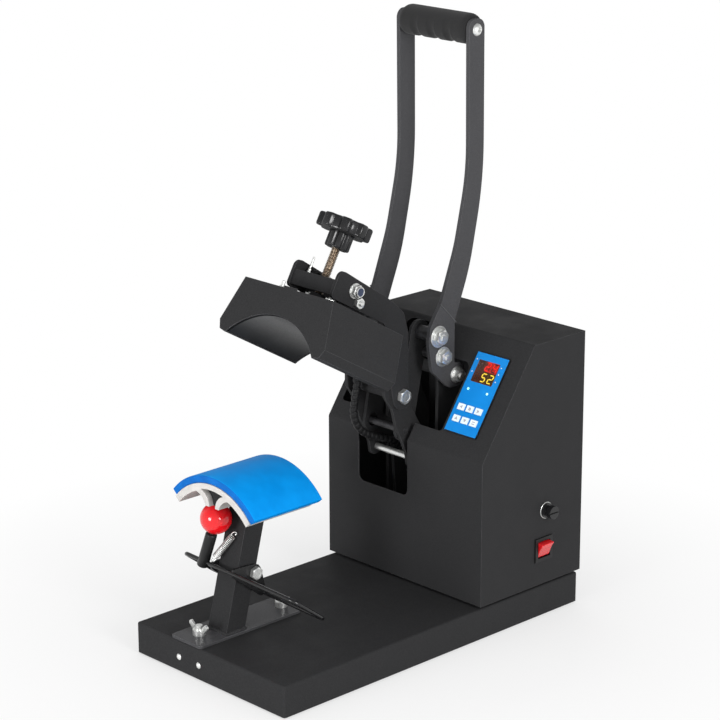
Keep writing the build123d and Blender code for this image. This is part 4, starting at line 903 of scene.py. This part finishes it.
# The flat lugs that join the loop to its pivot: inner face, thickness and (y, z) outline.
LUG_X = 15.4
LUG_T = 3.0
LUG_OUTLINE = [
    (48.6, 105.0), (50.4, 111.6), (53.0, 112.6), (74.0, 111.4), (80.0, 111.0), (86.0, 109.0), (89.6, 104.0),
    (96.4, 77.0), (95.4, 74.6), (91.0, 71.6), (87.6, 72.6), (50.6, 102.6)]


def bent_bail():
    """Round wire bent into a long loop about the post, with its two welded lugs."""
    across = side(0, BAIL_REAR) - side(0, BAIL_FRONT)
    middle = [(low + high) / 2 for low, high in zip(BAIL_FRONT, BAIL_REAR)]
    centre = side((BAIL_LEFT + BAIL_RIGHT) / 2, middle)
    loop = [
        centre + Vector((x, 0, BAIL_TILT * (MECH_X - centre.x - x))) + across.normalized() * along
        for x, along in rounded_section(BAIL_RIGHT - BAIL_LEFT, across.length, BAIL_CORNER, 10)]
    groups = [tube(loop + loop[:2], BAIL_WIRE_R, 18)]
    for low in (MECH_X + LUG_X, MECH_X - LUG_X - LUG_T):
        groups.append([[side(x, point) for point in LUG_OUTLINE] for x in (low, low + LUG_T)])
    piece = shells("bent_bail", groups, ENAMEL, "hold_down", 50)
    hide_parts("wire_bail")
    return piece


bent_bail()


# ---- padded and soft pieces ----
SADDLE_R = 88.0
SADDLE_Z = 128.0
SADDLE_FRONT = 38.0
SADDLE_REAR = 136.0
PAD_LEFT = radians(-47.8)
PAD_RIGHT = radians(50.0)
PAD_T = 8.5
PAD_CORNER = 1.6
PAD_STEPS = 60
# How much the pad shrinks in its first two and last two rings.
PAD_END_PULL = (1.6, 0.5)


def saddle_pad():
    """Silicone sheet bent over the saddle, its rims eased and its ends cut square."""
    middle_y = (SADDLE_FRONT + SADDLE_REAR) / 2
    stations = [(0.0, pull) for pull in PAD_END_PULL]
    stations += [(step / PAD_STEPS, 0.0) for step in range(PAD_STEPS + 1)]
    stations += [(1.0, pull) for pull in reversed(PAD_END_PULL)]
    rings = []
    for share, pull in stations:
        angle = PAD_LEFT + (PAD_RIGHT - PAD_LEFT) * share
        width = SADDLE_REAR - SADDLE_FRONT - pull
        height = PAD_T - pull
        ring = []
        for y, rise in rounded_section(width, height, min(PAD_CORNER, height / 2 - 0.2)):
            reach = SADDLE_R - PAD_T / 2 + rise
            ring.append(Vector((
                MECH_X + reach * sin(angle), middle_y + y, SADDLE_Z + reach * cos(angle))))
        rings.append(ring)
    piece = shells("saddle_pad", [rings], SILICONE, "frame", 50)
    piece.data.materials.append(SILICONE_SHADED_FACES)
    # Faces that look to the front or back take the darker blue: painted shade.
    for face in piece.data.polygons:
        face.material_index = 1 if abs(face.normal.y) > 0.7 else 0
    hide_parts("silicone_pad")
    return piece


GRIP_CENTRE = (381.0, 660.0)
GRIP_R = 17.0
GRIP_HALF = 50.0
GRIP_END_RUN = 7.0
GRIP_END_DROP = 3.6
GRIP_CREASES = (-25.0, 0.0, 25.0)
GRIP_CREASE_HALF = 6.0
GRIP_CREASE_DEPTH = 2.2
GRIP_CREASE_TURN = 0.5
GRIP_STEPS = 90
GRIP_SIDES = 56


def grip_sleeve():
    """Foam sleeve with domed ends and finger grooves along its underside."""
    rings = []
    for index in range(GRIP_STEPS + 1):
        along = -GRIP_HALF + 2 * GRIP_HALF * index / GRIP_STEPS
        end = max(0.0, abs(along) - (GRIP_HALF - GRIP_END_RUN)) / GRIP_END_RUN
        radius = GRIP_R - GRIP_END_DROP * (1 - sqrt(max(0.0, 1 - end ** 2)))
        crease = sum(max(0.0, 1 - (abs(along - spot) / GRIP_CREASE_HALF) ** 2) for spot in GRIP_CREASES)
        ring = []
        for step in range(GRIP_SIDES):
            angle = 2 * pi * step / GRIP_SIDES
            under = max(0.0, -sin(angle + GRIP_CREASE_TURN)) ** 0.8
            reach = radius - GRIP_CREASE_DEPTH * under * crease
            point = (GRIP_CENTRE[0] + reach * cos(angle), GRIP_CENTRE[1] + reach * sin(angle))
            ring.append(side(MECH_X + along, point))
        rings.append(ring)
    piece = shells("grip_sleeve", [rings], FOAM, "handle", 60)
    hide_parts("foam_grip")
    return piece


saddle_pad()
grip_sleeve()


# ---- heater cable ----
CABLE_R = 4.5
WRAP_PITCH = 7.0
WRAP_DEPTH = 0.75
WRAP_GAP = 2.0
WRAP_SHOULDER = 0.5
# Control points of the cable's spline.
CABLE_ROUTE = [
    (-50, 234, 302),
    (-50, 259, 291),
    (-50, 270, 270),
    (-50, 265, 248),
    (-50, 262, 229),
    (-49, 271, 210),
    (-48, 291, 198),
    (-46, 316, 191),
    (-45, 338, 176),
    (-44, 348, 150),
    (-44, 350, 122),
]


def routed(name, route):
    """Points of a smooth spline along a cord's route, in the machine's millimetres."""
    curve = bpy.data.curves.new(name, "CURVE")
    curve.dimensions = "3D"
    curve.resolution_u = 48
    spline = curve.splines.new("NURBS")
    spline.points.add(len(route) - 1)
    for point, spot in zip(spline.points, route):
        point.co = (*spot, 1.0)
    spline.order_u = 3
    spline.use_endpoint_u = True
    holder = in_scene(name, curve)
    bpy.context.view_layer.update()
    mesh = bpy.data.meshes.new_from_object(holder)
    line = [vertex.co.copy() for vertex in mesh.vertices]
    bpy.data.objects.remove(holder)
    bpy.data.curves.remove(curve)
    bpy.data.meshes.remove(mesh)
    return line


def wrap_ripple(distance, angle):
    """Depth of the gap between the turns of the spiral wrap, 0 on its band."""
    phase = (distance / WRAP_PITCH - angle / (2 * pi)) % 1.0
    edge = min(phase, 1 - phase) * WRAP_PITCH
    rise = min(1.0, max(0.0, (edge - WRAP_GAP / 2) / WRAP_SHOULDER))
    return WRAP_DEPTH * (rise - 1.0)


def heater_lead():
    """Sleeved heater lead in its spiral wrap, from the head down into the housing."""
    line = routed("heater_lead_line", CABLE_ROUTE)
    piece = shells("heater_lead", [tube(line, CABLE_R, 20, wrap_ripple)], SLEEVING, "arm", 60)
    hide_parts("heater_cable")
    return piece


heater_lead()


# ---- coil spring ----
SPRING_LOW = Vector((-49.0, 50.0, 114.0))
SPRING_HIGH = Vector((-27.0, 64.5, 148.0))
SPRING_TURNS = 16.0
HOOK_RUN = 6.0
HOOK_WIRE_R = 0.6
# A hook from the coil's end round its eye: distances along the spring and out from it.
HOOK_SHAPE = (
    (HOOK_RUN, 3.4), (HOOK_RUN - 1.2, 2.0), (3.2, 2.4), (0.6, 1.8), (-0.8, 0.0), (0.6, -1.8), (2.6, -1.6))


def new_node_tree(name, sizes):
    """Geometry tree with named size inputs; returns it with its input and output nodes."""
    tree = bpy.data.node_groups.new(name, "GeometryNodeTree")
    tree.interface.new_socket("Geometry", in_out="INPUT", socket_type="NodeSocketGeometry")
    for label, value in sizes.items():
        kind = "NodeSocketInt" if isinstance(value, int) else "NodeSocketFloat"
        socket = tree.interface.new_socket(label, in_out="INPUT", socket_type=kind)
        socket.default_value = value
    tree.interface.new_socket("Geometry", in_out="OUTPUT", socket_type="NodeSocketGeometry")
    return tree, node(tree, "NodeGroupInput").outputs, node(tree, "NodeGroupOutput").inputs


def grown(name, tree, sizes, start=None):
    """Runs a geometry tree on a mesh and keeps the plain result."""
    piece = in_scene(name, start or bpy.data.meshes.new(name))
    modifier = piece.modifiers.new(name, "NODES")
    modifier.node_group = tree
    for item in tree.interface.items_tree:
        if item.in_out == "INPUT" and item.name in sizes:
            modifier[item.identifier] = sizes[item.name]
    bpy.context.view_layer.update()
    evaluated = piece.evaluated_get(bpy.context.evaluated_depsgraph_get())
    result = bpy.data.meshes.new_from_object(evaluated)
    piece.modifiers.clear()
    piece.data = result
    return piece


def coil_tree(finish):
    """A close-wound coil of round wire that stands on its end."""
    tree, given, out = new_node_tree("coil", {
        "Turns": 20.0, "Coil radius": 0.0034, "Wire radius": 0.0005, "Height": 0.03})
    spiral = node(tree, "GeometryNodeCurveSpiral", {
        "Resolution": 20, "Rotations": given["Turns"], "Start Radius": given["Coil radius"],
        "End Radius": given["Coil radius"], "Height": given["Height"]})
    ring = node(tree, "GeometryNodeCurvePrimitiveCircle", {
        "Resolution": 10, "Radius": given["Wire radius"]})
    wire = node(tree, "GeometryNodeCurveToMesh", {
        "Curve": spiral.outputs["Curve"], "Profile Curve": ring.outputs["Curve"], "Fill Caps": True})
    real = node(tree, "GeometryNodeRealizeInstances", {"Geometry": wire.outputs["Mesh"]})
    painted = node(tree, "GeometryNodeSetMaterial", {
        "Geometry": real.outputs["Geometry"], "Material": finish})
    tree.links.new(painted.outputs["Geometry"], out["Geometry"])
    return tree


def spring_hooks(axis):
    """Bent hooks at both of the spring's ends."""
    hooks = []
    for foot, along in ((SPRING_LOW, axis), (SPRING_HIGH, -axis)):
        out = along.orthogonal().normalized()
        loop = [foot + along * run + out * reach for run, reach in HOOK_SHAPE]
        hooks.append(tube(smooth_line(loop, 6), HOOK_WIRE_R, 10))
    return shells("bail_spring_hooks", hooks, ZINC, "frame", 60)


def bail_spring():
    """Extension spring between the bail's front wire and the post, with its two hooks."""
    axis = (SPRING_HIGH - SPRING_LOW).normalized()
    coil_run = (SPRING_HIGH - SPRING_LOW).length - 2 * HOOK_RUN
    piece = grown("bail_spring", coil_tree(ZINC), {"Turns": SPRING_TURNS, "Height": coil_run * MM})
    piece.data.transform(frame_at((SPRING_LOW + axis * HOOK_RUN + MOVE) * MM, axis))
    for polygon in piece.data.polygons:
        polygon.use_smooth = True
    ends = spring_hooks(axis)
    ends.parent = None
    merged = bmesh.new()
    merged.from_mesh(piece.data)
    merged.from_mesh(ends.data)
    merged.to_mesh(piece.data)
    merged.free()
    bpy.data.objects.remove(ends)
    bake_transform(piece)
    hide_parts("extension_spring")
    return piece


bail_spring()


# ---- ball knob ----
BALL_CENTRE = Vector((-45.0, 53.0, 163.0))
BALL_R = 17.5
BALL_REACH = radians(164)
BALL_STEPS = 40
BALL_BORE_R = 3.6
LEVER_FOOT = Vector((-64.0, 50.0, 108.0))
# The sleeve's turned profile, from the bail's wire to the ball.
SLEEVE = [
    (4.8, -4.4), (6.0, -4.2), (6.5, -3.4), (6.5, 36.4), (6.1, 38.0), (5.0, 38.6), (3.5, 38.7), (3.5, 46.0)]


def lever_ball():
    """Smooth ball with a flat where its stem enters."""
    angles = [BALL_REACH * (1 - step / BALL_STEPS) for step in range(BALL_STEPS + 1)]
    profile = [(max(BALL_R * sin(angle), 0.05), BALL_R * cos(angle)) for angle in angles]
    profile.insert(0, (BALL_BORE_R, profile[0][1]))
    place = frame_at(BALL_CENTRE, BALL_CENTRE - LEVER_FOOT)
    piece = shells("lever_ball", [placed(place, turned(profile))], BALL_RED, "hold_down", 60)
    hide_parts("red_ball")
    return piece


def lever_grip():
    """Black sleeve pressed on the lever from the bail's wire to the ball."""
    place = frame_at(LEVER_FOOT, BALL_CENTRE - LEVER_FOOT)
    piece = shells("lever_grip", [placed(place, turned(SLEEVE))], NYLON, "hold_down", 50)
    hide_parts("lever_sleeve")
    return piece


lever_ball()
lever_grip()


# ---- weld beads ----
LEAN = radians(14.4)
POST_HALF = 15.0
POST_FRONT_Y = 41.0
POST_BACK_Y = POST_FRONT_Y + 26.0 / cos(LEAN)
POST_FOOT_Z = 38.8
BAR_WELD = ((327.1, 360.8), (351.6, 335.8))


def bead_tree(finish):
    """Overlapping ripples of weld metal along an edge path."""
    tree, given, out = new_node_tree("weld_bead", {"Spacing": 0.0011, "Radius": 0.002, "Seed": 3})
    path = node(tree, "GeometryNodeMeshToCurve", {"Mesh": given["Geometry"]})
    spots = node(tree, "GeometryNodeCurveToPoints", {
        "Curve": path.outputs["Curve"], "Length": given["Spacing"]}, mode="LENGTH")
    drop = node(tree, "GeometryNodeMeshUVSphere", {"Segments": 14, "Rings": 8, "Radius": given["Radius"]})
    size = node(tree, "FunctionNodeRandomValue", {
        0: (0.85, 0.85, 0.6), 1: (1.1, 1.15, 0.8), "Seed": given["Seed"]}, data_type="FLOAT_VECTOR")
    laid = node(tree, "GeometryNodeInstanceOnPoints", {
        "Points": spots.outputs["Points"], "Instance": drop.outputs["Mesh"],
        "Rotation": spots.outputs["Rotation"], "Scale": size.outputs[0]})
    real = node(tree, "GeometryNodeRealizeInstances", {"Geometry": laid.outputs["Instances"]})
    soft = node(tree, "GeometryNodeSetShadeSmooth", {"Geometry": real.outputs["Geometry"]})
    painted = node(tree, "GeometryNodeSetMaterial", {
        "Geometry": soft.outputs["Geometry"], "Material": finish})
    tree.links.new(painted.outputs["Geometry"], out["Geometry"])
    return tree


def weld(name, paths, finish, body, radius, spacing):
    """Beads along one or more lines of points, in the machine's millimetres."""
    mesh = bpy.data.meshes.new(name)
    points = []
    edges = []
    for path in paths:
        first = len(points)
        points += [(point + MOVE) * MM for point in path]
        edges += [(first + index, first + index + 1) for index in range(len(path) - 1)]
    mesh.from_pydata(points, edges, [])
    piece = grown(name, bead_tree(finish), {"Spacing": spacing * MM, "Radius": radius * MM}, mesh)
    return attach(piece, body)


def post_weld():
    """Thick bead round the foot of the stand's post."""
    left, right = MECH_X - POST_HALF, MECH_X + POST_HALF
    corners = [(left, POST_FRONT_Y), (right, POST_FRONT_Y), (right, POST_BACK_Y), (left, POST_BACK_Y)]
    ring = [Vector((x, y, POST_FOOT_Z)) for x, y in corners + corners[:1]]
    piece = weld("post_foot_weld", [ring], BLACK_COAT, "frame", radius=2.6, spacing=1.3)
    return piece


def bar_weld():
    """Thin bead on the outer face of each handle bar's foot."""
    paths = [[side(MECH_X + way * BAR_FACE_X, end) for end in BAR_WELD] for way in (-1, 1)]
    piece = weld("bar_foot_weld", paths, HANDLE_COAT, "handle", radius=0.7, spacing=0.6)
    return piece


post_weld()
bar_weld()


# ---- controller ----
MEMBRANE_RIM = 0.6
MEMBRANE_T = 0.3
# Printed layers and lenses stand clear of each other by this.
LAYER_GAP = 0.02
MEMBRANE_TOP = PANEL_T + MEMBRANE_T
KEY_TOP = PANEL_T + 1.2
DIGIT_W = 5.6
DIGIT_H = 9.4
DIGIT_PITCH = 10.3
DIGIT_SLANT = 0.12
DIGIT_SHIFT = 0.2
BAR_W = 1.3
BAR_GAP = 0.22
# Low and high of the segments and of the halos behind them, over the panel.
BAR_HEIGHTS = (PANEL_T + 0.36, PANEL_T + 0.46)
HALO_HEIGHTS = (PANEL_T + 0.28, PANEL_T + 0.34)
HALO_SHIFT = 5.9
HALO_W = 18.6
HALO_H = 12.2
UPPER_U = 81.3
LOWER_U = 68.2
LENS_SPOTS = ((9.0, 51.8), (37.6, 51.8))
PILOT_SPOTS = ((3.6, 87.0), (3.6, 72.0), (41.6, 84.0), (41.6, 76.0), (41.6, 67.0))
LENS = [(1.5, 0), (1.4, 0.3)] + [(radius, height + 0.3) for radius, height in dome(1.3, 0.7)]
PILOT = [(0.8, 0), (0.75, 0.12), (0.1, 0.2)]

# Which of a digit's seven bars glow: a is the top one, b to f go round clockwise and
# g is the middle one.
LIT_BARS = {"2": "abged", "4": "fgbc", "5": "afgcd"}
# Plain signs of the six keys, row by row: the corners of each patch.
KEY_SIGNS = (
    [[(-2.2, -1.4), (2.2, -1.4), (0, 2.0)]],
    [[(-2.2, 1.4), (2.2, 1.4), (0, -2.0)]],
    [[(-2.0, -1.7), (2.0, -1.7), (2.0, -0.7), (-2.0, -0.7)],
     [(-2.0, 0.7), (2.0, 0.7), (2.0, 1.7), (-2.0, 1.7)]],
    [[(1.8, -2.0), (1.8, 2.0), (-2.0, 0)]],
    [[(-1.7, -1.7), (1.7, -1.7), (1.7, 1.7), (-1.7, 1.7)]],
    [[(-1.8, -2.0), (-1.8, 2.0), (2.0, 0)]],
)


def on_panel(x, u, height=0.0):
    """Frame at a place on the controller's face."""
    return PANEL @ Matrix.Translation(Vector((x, u, height)))


def prism(place, corners, low, high):
    """Rings of a flat-sided piece from its corners and two heights."""
    return [[place @ Vector((x, y, height)) for x, y in corners] for height in (low, high)]


def sheet_lines(size, holes):
    """Sorted lines of a sheet's grid: its two rims and both sides of each hole."""
    lines = {MEMBRANE_RIM, size - MEMBRANE_RIM}
    for middle, width in holes:
        lines |= {middle - width / 2, middle + width / 2}
    return sorted(lines)


def membrane():
    """Printed blue membrane on the controller's black face, cut out for keys and display."""
    holes = [(GLASS_X, GLASS_U, GLASS_W, GLASS_H)]
    holes += [(x, u, KEY_W + KEY_GAP, KEY_H + KEY_GAP) for x in KEY_COLUMNS for u in KEY_ROWS]
    xs = sheet_lines(PANEL_W, [(x, w) for x, u, w, h in holes])
    us = sheet_lines(PANEL_H, [(u, h) for x, u, w, h in holes])
    made = bmesh.new()
    grid = {}
    for x_low, x_high in zip(xs, xs[1:]):
        for u_low, u_high in zip(us, us[1:]):
            middle = ((x_low + x_high) / 2, (u_low + u_high) / 2)
            if any(abs(middle[0] - x) < w / 2 and abs(middle[1] - u) < h / 2 for x, u, w, h in holes):
                continue
            corners = []
            for x, u in ((x_low, u_low), (x_high, u_low), (x_high, u_high), (x_low, u_high)):
                if (x, u) not in grid:
                    spot = PANEL @ Vector((x, u, PANEL_T + LAYER_GAP))
                    grid[(x, u)] = made.verts.new((spot + MOVE) * MM)
                corners.append(grid[(x, u)])
            made.faces.new(corners)
    thickened = bmesh.ops.extrude_face_region(made, geom=list(made.faces))["geom"]
    raised = [part for part in thickened if isinstance(part, bmesh.types.BMVert)]
    rise = PANEL.to_3x3() @ Vector((0, 0, MEMBRANE_T)) * MM
    bmesh.ops.translate(made, verts=raised, vec=rise)
    bmesh.ops.recalc_face_normals(made, faces=made.faces)
    mesh = bpy.data.meshes.new("membrane")
    made.to_mesh(mesh)
    made.free()
    mesh.materials.append(MEMBRANE)
    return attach(in_scene("membrane", mesh), "frame")


def digit_bars(x, u, digit):
    """The seven bars of a digit, those that glow and those that don't."""
    half_w, half_h = DIGIT_W / 2, DIGIT_H / 2
    bars = {
        "a": ((-half_w, half_h), (half_w, half_h)),
        "g": ((-half_w, 0), (half_w, 0)),
        "d": ((-half_w, -half_h), (half_w, -half_h)),
        "f": ((-half_w, half_h), (-half_w, 0)),
        "b": ((half_w, half_h), (half_w, 0)),
        "e": ((-half_w, 0), (-half_w, -half_h)),
        "c": ((half_w, 0), (half_w, -half_h)),
    }
    glowing, dark = [], []
    for name, (start, end) in bars.items():
        start, end = Vector(start), Vector(end)
        along = (end - start).normalized()
        wide = Vector((-along.y, along.x)) * BAR_W / 2
        tip = along * BAR_W / 2
        low, high = start + along * BAR_GAP, end - along * BAR_GAP
        outline = [low, low + tip + wide, high - tip + wide, high, high - tip - wide, low + tip - wide]
        corners = [(x + point.x + point.y * DIGIT_SLANT, u + point.y) for point in outline]
        chosen = glowing if name in LIT_BARS.get(digit, "") else dark
        chosen.append(prism(PANEL, corners, *BAR_HEIGHTS))
    return glowing, dark


def display_glass():
    """Tinted glass in the membrane's window."""
    corners = rounded_section(GLASS_W - 0.1, GLASS_H - 0.1, 0.5)
    pane = prism(on_panel(GLASS_X, GLASS_U), corners, PANEL_T + LAYER_GAP, MEMBRANE_TOP)
    shells("display_glass", [pane], SMOKED, "frame")


def halos():
    """The glow that each row of digits spreads on the glass."""
    corners = rounded_section(HALO_W, HALO_H, 2.0)
    for name, u, finish in (("upper_halo", UPPER_U, HALO_RED), ("lower_halo", LOWER_U, HALO_AMBER)):
        halo = prism(on_panel(GLASS_X + HALO_SHIFT, u), corners, *HALO_HEIGHTS)
        shells(name, [halo], finish, "frame")


def digits():
    """Two rows of three digits: set temperature above, countdown below."""
    rows = (
        (" 24", UPPER_U, LIT_RED, "upper_digits"),
        (" 52", LOWER_U, LIT_YELLOW, "lower_digits"))
    dark_groups = []
    for text, u, finish, name in rows:
        lit_groups = []
        for place, digit in enumerate(text):
            glowing, dark = digit_bars(GLASS_X + DIGIT_SHIFT + (place - 1) * DIGIT_PITCH, u, digit)
            lit_groups += glowing
            dark_groups += dark
        shells(name, lit_groups, finish, "frame")
    shells("unlit_segments", dark_groups, UNLIT, "frame")


def lenses():
    """Round green lenses under the display, and small white ones beside it."""
    for name, spots, profile, finish in (
            ("indicator_lenses", LENS_SPOTS, LENS, LIT_GREEN),
            ("pilot_dots", PILOT_SPOTS, PILOT, LENS_WHITE)):
        groups = [placed(on_panel(x, u, MEMBRANE_TOP), turned(profile)) for x, u in spots]
        shells(name, groups, finish, "frame")


def key_marks():
    """A plain printed sign on each key: arrows, bars and a square."""
    for index, patches in enumerate(KEY_SIGNS):
        place = on_panel(KEY_COLUMNS[index % 3], KEY_ROWS[index // 3])
        groups = [prism(place, corners, KEY_TOP + 0.01, KEY_TOP + 0.08) for corners in patches]
        shells(f"key_{index + 1}_mark", groups, KEY_INK, f"key_body_{index + 1}")


membrane()
display_glass()
halos()
digits()
lenses()
key_marks()


# ---- switch and fuse on the right side ----
ROCKER_Y = 393.0
ROCKER_Z = 82.0
ROCKER_HALF_H = 8.9
# The rocker's side view: out from the wall and up from its middle.
ROCKER_OUTLINE = [
    (-5.0, -8.9), (0.5, -8.9), (1.1, -8.4), (4.5, 0.6), (8.0, 6.4),
    (8.4, 7.2), (8.0, 7.9), (0.0, 8.8), (-5.0, 8.9)]
# Its rings along its width, and how far each is eased in.
ROCKER_RINGS = ((-9.6, 0.5), (-9.1, 0.0), (9.1, 0.0), (9.6, 0.5))
FUSE_Y = 397.0
FUSE_Z = 127.0


def rocker_cap():
    """Red rocker, pressed in at its foot, with its head standing out over the frame."""
    rows = []
    for y, inset in ROCKER_RINGS:
        shrink = 1 - inset / ROCKER_HALF_H
        row = []
        for out, rise in ROCKER_OUTLINE:
            eased = out - inset if out > 0.2 else out
            row.append(Vector((WALL_X + eased, ROCKER_Y + y, ROCKER_Z + rise * shrink)))
        rows.append(row)
    piece = shells("rocker_cap_moulding", [rows], SWITCH_RED, "rocker_cap", 25)
    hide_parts("rocker")
    return piece


def fuse_highlight_washer():
    """Thin bright washer behind the fuse holder's collar; the ring of it that shows round the collar paints
    the highlight of the collar's glossy rim.
    """
    place = frame_at((WALL_X, FUSE_Y, FUSE_Z), (1, 0, 0), (0, 0, 1))
    rows = placed(place, washer(9.7, 6.3, 0.05, 0.8))
    return shells("fuse_highlight_washer", [rows], ZINC, "frame")


rocker_cap()
fuse_highlight_washer()


# ---- floor, light and camera ----
FLOOR_HALF = 9.0
# Distances in metres from the machine where the floor starts and ends to turn plain white.
FADE_START = 0.24
FADE_END = 0.62
WHITE = (1, 1, 1, 1)
AMBIENT = 0.7
LAMP_AIM = (0, 0, 0.25)
LAMP_SIZE = 1.0
CAMERA_SPOT = (1.89319, -1.82740, 1.12781)
CAMERA_AZIMUTH = 0.8059
CAMERA_ELEVATION = 0.29916
CAMERA_ROLL = -0.00312
CAMERA_LENS = 126.34


def stage_floor():
    """Pale floor that keeps the machine's soft shadow and goes to plain white away from it."""
    mesh = bpy.data.meshes.new("studio_floor")
    corners = [(x * FLOOR_HALF, y * FLOOR_HALF, 0) for x, y in ((-1, -1), (1, -1), (1, 1), (-1, 1))]
    mesh.from_pydata(corners, [], [(0, 1, 2, 3)])
    material, tree, shader, place = new_finish(
        "studio_floor_white", Roughness=0.9, Specular_IOR_Level=0.1)
    tint = toned(tree, mottle(tree, place, 400.0), 0.2, 0.8, "#f4f4f4", "#f8f8f8")
    tree.links.new(tint, shader.inputs["Base Color"])
    path = node(tree, "ShaderNodeLightPath").outputs
    mirrored = node(tree, "ShaderNodeMath", {
        0: path["Is Camera Ray"], 1: path["Is Glossy Ray"]}, operation="MAXIMUM")
    seen = node(tree, "ShaderNodeMath", {
        0: mirrored.outputs["Value"], 1: path["Is Transmission Ray"]}, operation="MAXIMUM")
    reach = node(tree, "ShaderNodeVectorMath", {0: place}, operation="LENGTH").outputs["Value"]
    away = node(tree, "ShaderNodeMapRange", {
        "Value": reach, "From Min": FADE_START, "From Max": FADE_END, "To Min": 0.6, "To Max": 1.0})
    share = node(tree, "ShaderNodeMath", {
        0: seen.outputs["Value"], 1: away.outputs["Result"]}, operation="MULTIPLY")
    white = node(tree, "ShaderNodeEmission", {"Color": WHITE, "Strength": 1.0})
    both = node(tree, "ShaderNodeMixShader", {
        0: share.outputs["Value"], 1: shader.outputs[0], 2: white.outputs[0]})
    tree.links.new(both.outputs[0], tree.nodes["Material Output"].inputs["Surface"])
    mesh.materials.append(material)
    in_scene("studio_floor", mesh)


def studio_world():
    """Even soft light, a white surround where it is seen, and a mirrored sky that dims overhead."""
    world = bpy.data.worlds.new("studio_surround")
    bpy.context.scene.world = world
    world.use_nodes = True
    tree = world.node_tree
    tree.nodes.clear()
    path = node(tree, "ShaderNodeLightPath").outputs
    seen = node(tree, "ShaderNodeMath", {
        0: path["Is Camera Ray"], 1: path["Is Transmission Ray"]}, operation="MAXIMUM")
    spot = node(tree, "ShaderNodeTexCoord").outputs["Generated"]
    height = node(tree, "ShaderNodeSeparateXYZ", {"Vector": spot}).outputs["Z"]
    dimmed = node(tree, "ShaderNodeMapRange", {
        "Value": height, "From Min": 0.05, "From Max": 0.9, "To Min": 1.0, "To Max": 0.35})
    mirrored_sky = node(tree, "ShaderNodeBackground", {
        "Color": WHITE, "Strength": dimmed.outputs["Result"]})
    ambient = node(tree, "ShaderNodeBackground", {"Color": WHITE, "Strength": AMBIENT})
    plain = node(tree, "ShaderNodeBackground", {"Color": WHITE, "Strength": 1.0})
    lit = node(tree, "ShaderNodeMixShader", {
        0: path["Is Glossy Ray"], 1: ambient.outputs[0], 2: mirrored_sky.outputs[0]})
    both = node(tree, "ShaderNodeMixShader", {
        0: seen.outputs["Value"], 1: lit.outputs[0], 2: plain.outputs[0]})
    out = node(tree, "ShaderNodeOutputWorld")
    tree.links.new(both.outputs[0], out.inputs["Surface"])


def soft_box(name, spot, watts):
    """A wide round lamp that looks at the machine's middle."""
    light = bpy.data.lights.new(name, "AREA")
    light.shape = "DISK"
    light.size = LAMP_SIZE
    light.energy = watts
    holder = in_scene(name, light)
    holder.location = spot
    holder.rotation_euler = (Vector(LAMP_AIM) - Vector(spot)).to_track_quat("-Z", "Y").to_euler()


def main_camera():
    """Long lens from the front right, a little above the machine."""
    flat = cos(CAMERA_ELEVATION)
    look = Vector((
        -sin(CAMERA_AZIMUTH) * flat, cos(CAMERA_AZIMUTH) * flat, -sin(CAMERA_ELEVATION)))
    level = Vector((cos(CAMERA_AZIMUTH), sin(CAMERA_AZIMUTH), 0))
    upright = level.cross(look)
    right = level * cos(CAMERA_ROLL) + upright * sin(CAMERA_ROLL)
    up = upright * cos(CAMERA_ROLL) - level * sin(CAMERA_ROLL)
    data = bpy.data.cameras.new("studio_camera")
    data.lens = CAMERA_LENS
    data.sensor_width = 36.0
    data.clip_end = 100.0
    camera = in_scene("studio_camera", data)
    turn = Matrix((right, up, -look)).transposed().to_4x4()
    camera.matrix_world = Matrix.Translation(Vector(CAMERA_SPOT)) @ turn
    bpy.context.scene.camera = camera


stage_floor()
studio_world()
soft_box("key_light", (2.7, -0.5, 1.0), 38)
soft_box("front_fill", (0.1, -3.0, 0.6), 42)
main_camera()
bpy.context.scene.view_settings.view_transform = "Standard"
